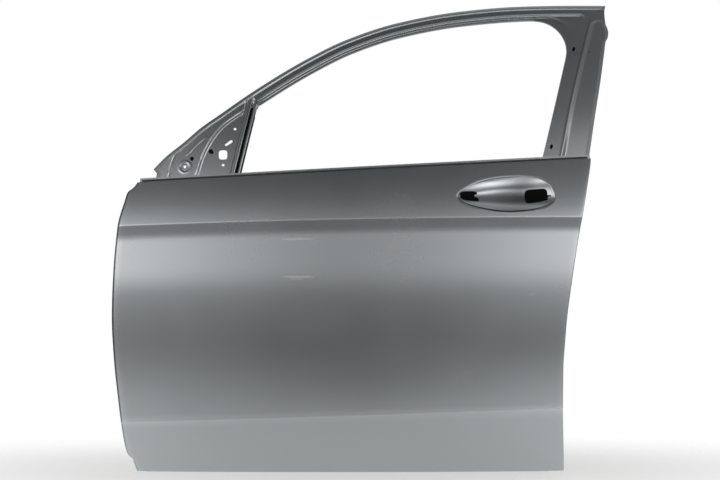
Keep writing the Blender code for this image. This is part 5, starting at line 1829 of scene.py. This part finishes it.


# Small pieces darkened as painted shade: how deep the plugs lie, and where the channel's shade
# sheet and the sealer bead run
PLUG_FACE = 0.0005
PLUG_BACK = FRAME_SHEET + 0.0004
CHANNEL_SHADE_CELLS = (12, 48)
CHANNEL_SHADE_HEIGHTS = (0.7260, 0.8900)
CHANNEL_SHADE_EDGES = (0.0158, 0.0002)
CHANNEL_SHADE_SHEET = 0.0006
SEAL_CELLS = (160, 8)
SEAL_ENDS = (0.0690, 1.1560)
SEAL_HEIGHTS = (-0.0010, 0.0046)
SEAL_SHEET = 0.0007
BRACKET_SHEET = 0.0012
BRACKET_SIDES = 72
BRACKET_RINGS = (
    1.02, 0.98, 0.94, 0.89, 0.84, 0.78, 0.72, 0.66, 0.60, 0.54, 0.47, 0.40, 0.32, 0.20,
)


class DOOR_OT_dark_parts(bpy.types.Operator):
    """Add black plugs in the two mirror holes and a black sheet in the glass channel, both
    painted shade
    """

    bl_idname = "door.dark_parts"
    bl_label = "Shade plugs and channel shade sheet"

    def execute(self, context):
        x, z, diameter = STUD_HOLE
        plugs = bmesh.new()
        for outline in (circle(x, z, diameter - 0.0003), keyhole(0.00015)):
            face = frame_y(*outline[0]) + SAIL_DEPTH
            plug = outline_bm(outline, face + PLUG_FACE, face + PLUG_BACK)
            part = mesh_from(plug, "plug")
            plugs.from_mesh(part)
            bpy.data.meshes.remove(part)
        # Black plugs in the mirror holes: painted shade where the holes show only shadow
        add_piece("mirror_shade_plugs", mesh_from(plugs, "mirror_shade_plugs"), "shade_black")

        columns, rows = CHANNEL_SHADE_CELLS

        def place(column, row):
            z = mix(*CHANNEL_SHADE_HEIGHTS, row / rows)
            back = mix(*CHANNEL_SHADE_EDGES, column / columns)
            x = division_line(z) - back
            return Vector((x, frame_y(x, z) + 0.0030 - 0.0006 * hump(back - 0.0125, 0.0016), z))

        # A black sheet in the glass channel: painted shade for the dark gap and the flange's
        # shadow beside the strip
        sheet = grid_mesh("channel_lining_sheet", columns + 1, rows + 1, place)
        mesh = pressed("channel_shade", sheet, CHANNEL_SHADE_SHEET)
        add_piece("channel_shade", mesh, "shade_black")
        return {"FINISHED"}


class DOOR_OT_belt_seal(bpy.types.Operator):
    """Lay a sealer bead along the belt, between the skin's fold and the rail behind it, its dark
    colour painted shade of the ledge's corner
    """

    bl_idname = "door.belt_seal"
    bl_label = "Belt seal"

    def execute(self, context):
        columns, rows = SEAL_CELLS

        def place(column, row):
            x = mix(*SEAL_ENDS, column / columns)
            belt = belt_line(x)
            rise = row / rows
            depth = 0.0056 + 0.0002 * rise - 0.0006 * math.sin(math.pi * rise)
            return Vector((x, skin_y(x, belt) + depth, belt + mix(*SEAL_HEIGHTS, rise)))

        sheet = grid_mesh("belt_seal_sheet", columns + 1, rows + 1, place)
        mesh = pressed("belt_seal", sheet, SEAL_SHEET)
        # The bead's near-black colour is painted shade in the corner under the belt fold
        add_piece("belt_seal", mesh, "painted_shade_sealer")
        return {"FINISHED"}


class DOOR_OT_handle_bracket(bpy.types.Operator):
    """Add the pressed bracket that lies behind the handle recess, painted black as the shade seen
    through the recess's openings
    """

    bl_idname = "door.handle_bracket"
    bl_label = "Handle bracket"

    def execute(self, context):
        def spot(turn, share):
            x, z = recess_place(turn, share)
            depth = SKIN_SHEET + mix(0.0004, 0.0030, smooth((1.0 - share) / 0.12))
            bowl = RECESS_DEPTH * recess_bowl(share)
            return skin_point(x, z) + Vector((0.0, bowl + depth, 0.0))

        bm = bmesh.new()
        ring = bmesh.ops.create_circle(bm, segments=BRACKET_SIDES, radius=1.0)["verts"]
        edges = list(bm.edges)
        for vert in ring:
            vert.co = spot(math.atan2(vert.co.y, vert.co.x), BRACKET_RINGS[0])
        for share in BRACKET_RINGS[1:]:
            ring, edges = extruded_ring(bm, edges)
            for vert in ring:
                vert.co = spot(turn_of(vert), share)
        bmesh.ops.holes_fill(bm, edges=edges, sides=0)
        bmesh.ops.recalc_face_normals(bm, faces=bm.faces)
        sheet = mesh_from(bm, "handle_bracket_sheet")
        mesh = pressed("handle_bracket", sheet, BRACKET_SHEET)
        # The bracket is painted black as painted shade behind the grip and lock openings
        add_piece("handle_bracket", mesh, "shade_black")
        return {"FINISHED"}


def softbox(name, place, aim, width, height, power):
    lamp = bpy.data.lights.new(name, "AREA")
    lamp.shape = "RECTANGLE"
    lamp.size = width
    lamp.size_y = height
    lamp.energy = power
    item = bpy.data.objects.new(name, lamp)
    item.location = place
    item.rotation_mode = "QUATERNION"
    item.rotation_quaternion = (Vector(aim) - Vector(place)).to_track_quat("-Z", "Y")
    bpy.context.scene.collection.objects.link(item)


# Brightness of the studio in front of the door, by the sine of the angle above the floor
STUDIO_BANDS = (
    (-1.0, 0.80),
    (-0.60, 0.66),
    (-0.40, 0.325),
    (-0.25, 0.18),
    (-0.10, 0.075),
    (0.0, 0.07),
    (0.08, 0.17),
    (0.19, 0.56),
    (0.28, 0.67),
    (0.36, 0.50),
    (0.43, 0.20),
    (0.50, 0.07),
    (0.68, 0.05),
    (0.92, 0.05),
    (0.97, 0.15),
    (1.0, 0.30),
)
FLOOR_GLOW = 0.52
FLOOR_RADIUS = 2.3
SOFTBOX_HEIGHT = 2.6
SOFTBOX_BACK = 0.5
SOFTBOX_WIDTH = 3.0
SOFTBOX_DEPTH = 1.6
SOFTBOX_POWER = 5.0
CAMERA_X = 0.600
CAMERA_Z = 0.564
LENS = 93.75
SENSOR_WIDTH = 36.0


def studio_world():
    """White for the camera; a soft studio with dark and bright bands for reflections."""
    world = bpy.data.worlds.new("studio")
    world.use_nodes = True
    tree = world.node_tree
    tree.nodes.clear()
    parts = axes(tree, tree.nodes.new("ShaderNodeTexCoord").outputs["Generated"])
    lift = spread(tree, parts["Z"], -1.0, 1.0, kind="LINEAR")
    rise = node(tree, "ShaderNodeValToRGB", Fac=lift)
    ramp = rise.color_ramp
    ramp.interpolation = "EASE"
    for k, (height, value) in enumerate(STUDIO_BANDS):
        spot = (height + 1.0) / 2.0
        if k < 2:
            element = ramp.elements[k]
            element.position = spot
        else:
            element = ramp.elements.new(spot)
        element.color = (value, value, value, 1.0)
    # Brighter towards the sides and dark at their ends; behind the door, dimmer high up
    side = calculate(tree, "ABSOLUTE", parts["X"])
    wing = spread(tree, side, 0.02, 0.40, 0.72, 3.90)
    fall = spread(tree, side, 0.55, 0.82, 1.0, 0.10)
    front = times(tree, rise.outputs["Color"], times(tree, wing, fall))
    high = spread(tree, parts["Z"], 0.45, 0.85, 0.55, 0.14)
    slant = spread(tree, parts["X"], -0.55, 0.75, 0.35, 1.90)
    behind = spread(tree, parts["Y"], -0.10, 0.35)
    light = blend(tree, behind, front, times(tree, high, slant), "FLOAT")
    studio = node(tree, "ShaderNodeBackground", Color=light)
    white = node(tree, "ShaderNodeBackground", Color=WHITE)
    seen = tree.nodes.new("ShaderNodeLightPath").outputs["Is Camera Ray"]
    surface = mixed(tree, seen, studio.outputs[0], white.outputs[0])
    node(tree, "ShaderNodeOutputWorld", Surface=surface)
    return world


def floor_material(colour):
    """Pale floor that keeps the door's shadow and fades into the white background in front."""
    material, tree, shader = new_material("studio_floor")
    fill(tree, shader, Base_Color=(*colour, 1.0), Roughness=0.45, Specular_IOR_Level=0.3)
    glow = node(tree, "ShaderNodeEmission", Color=(1.0, 1.0, 0.99, 1.0), Strength=0.98)
    eye = tree.nodes.new("ShaderNodeLightPath").outputs
    seen = calculate(tree, "MAXIMUM", eye["Is Camera Ray"], eye["Is Glossy Ray"])
    pale = mixed(tree, times(tree, seen, FLOOR_GLOW), shader.outputs[0], glow.outputs[0])
    place = tree.nodes.new("ShaderNodeTexCoord").outputs["Object"]
    squeeze = node(tree, "ShaderNodeMapping", Vector=place, Scale=(0.50, 1.0, 1.0))
    reach = tree.nodes.new("ShaderNodeVectorMath")
    reach.operation = "LENGTH"
    join_up(tree, reach.inputs[0], squeeze.outputs["Vector"])
    fade = spread(tree, reach.outputs["Value"], 0.08, 0.85)
    clear = tree.nodes.new("ShaderNodeBsdfTransparent")
    surface = mixed(tree, fade, pale, clear.outputs[0])
    fill(tree, tree.nodes["Material Output"], Surface=surface)
    return material


class DOOR_OT_studio(bpy.types.Operator):
    """Set up the pale floor, the soft light and the camera"""

    bl_idname = "door.studio"
    bl_label = "Studio"

    def execute(self, context):
        settings = context.scene.door_studio
        scene = context.scene
        scene.view_settings.view_transform = "Standard"
        scene.world = studio_world()
        low, high = SOLID_BOX
        middle = (low + high) / 2
        bm = bmesh.new()
        bmesh.ops.create_circle(bm, cap_ends=True, segments=96, radius=FLOOR_RADIUS)
        floor = bpy.data.objects.new("studio_floor", mesh_from(bm, "studio_floor"))
        floor.location = (middle.x, middle.y, low.z - settings.floor_gap)
        floor.data.materials.append(floor_material(settings.floor_colour))
        scene.collection.objects.link(floor)
        place = (middle.x, middle.y + SOFTBOX_BACK, SOFTBOX_HEIGHT)
        aim = (middle.x, middle.y, 0.0)
        softbox("overhead_softbox", place, aim, SOFTBOX_WIDTH, SOFTBOX_DEPTH, SOFTBOX_POWER)
        camera = bpy.data.objects.new("camera", bpy.data.cameras.new("camera"))
        camera.data.lens = LENS
        camera.data.sensor_width = SENSOR_WIDTH
        camera.location = Vector((CAMERA_X, -settings.camera_distance, CAMERA_Z)) + ORIGIN
        camera.rotation_euler = (math.radians(90.0), 0.0, 0.0)
        scene.collection.objects.link(camera)
        scene.camera = camera
        return {"FINISHED"}


class DOOR_PT_panel(bpy.types.Panel):
    """The door shell's settings and its steps"""

    bl_idname = "DOOR_PT_panel"
    bl_label = "Car door shell"
    bl_space_type = "VIEW_3D"
    bl_region_type = "UI"
    bl_category = "Door"

    def draw(self, context):
        layout = self.layout
        for group in ("door_paint", "door_skin", "door_frame", "door_studio"):
            settings = getattr(context.scene, group)
            box = layout.box()
            for name in settings.__annotations__:
                box.prop(settings, name)
        for step in STEPS:
            layout.operator(step.bl_idname)


SETTINGS = {
    "door_paint": PaintSettings,
    "door_skin": SkinSettings,
    "door_frame": FrameSettings,
    "door_studio": StudioSettings,
}
STEPS = (
    DOOR_OT_solid_finishes,
    DOOR_OT_outer_skin,
    DOOR_OT_inner_panel,
    DOOR_OT_window_frame,
    DOOR_OT_dark_parts,
    DOOR_OT_belt_seal,
    DOOR_OT_handle_bracket,
    DOOR_OT_studio,
)


def register():
    for item in (*SETTINGS.values(), *STEPS, DOOR_PT_panel):
        bpy.utils.register_class(item)
    for name, group in SETTINGS.items():
        setattr(bpy.types.Scene, name, bpy.props.PointerProperty(type=group))


def unregister():
    for name in SETTINGS:
        delattr(bpy.types.Scene, name)
    for item in reversed((*SETTINGS.values(), *STEPS, DOOR_PT_panel)):
        bpy.utils.unregister_class(item)


def main():
    register()
    for step in STEPS:
        group, name = step.bl_idname.split(".")
        getattr(getattr(bpy.ops, group), name)()


if __name__ == "__main__":
    main()
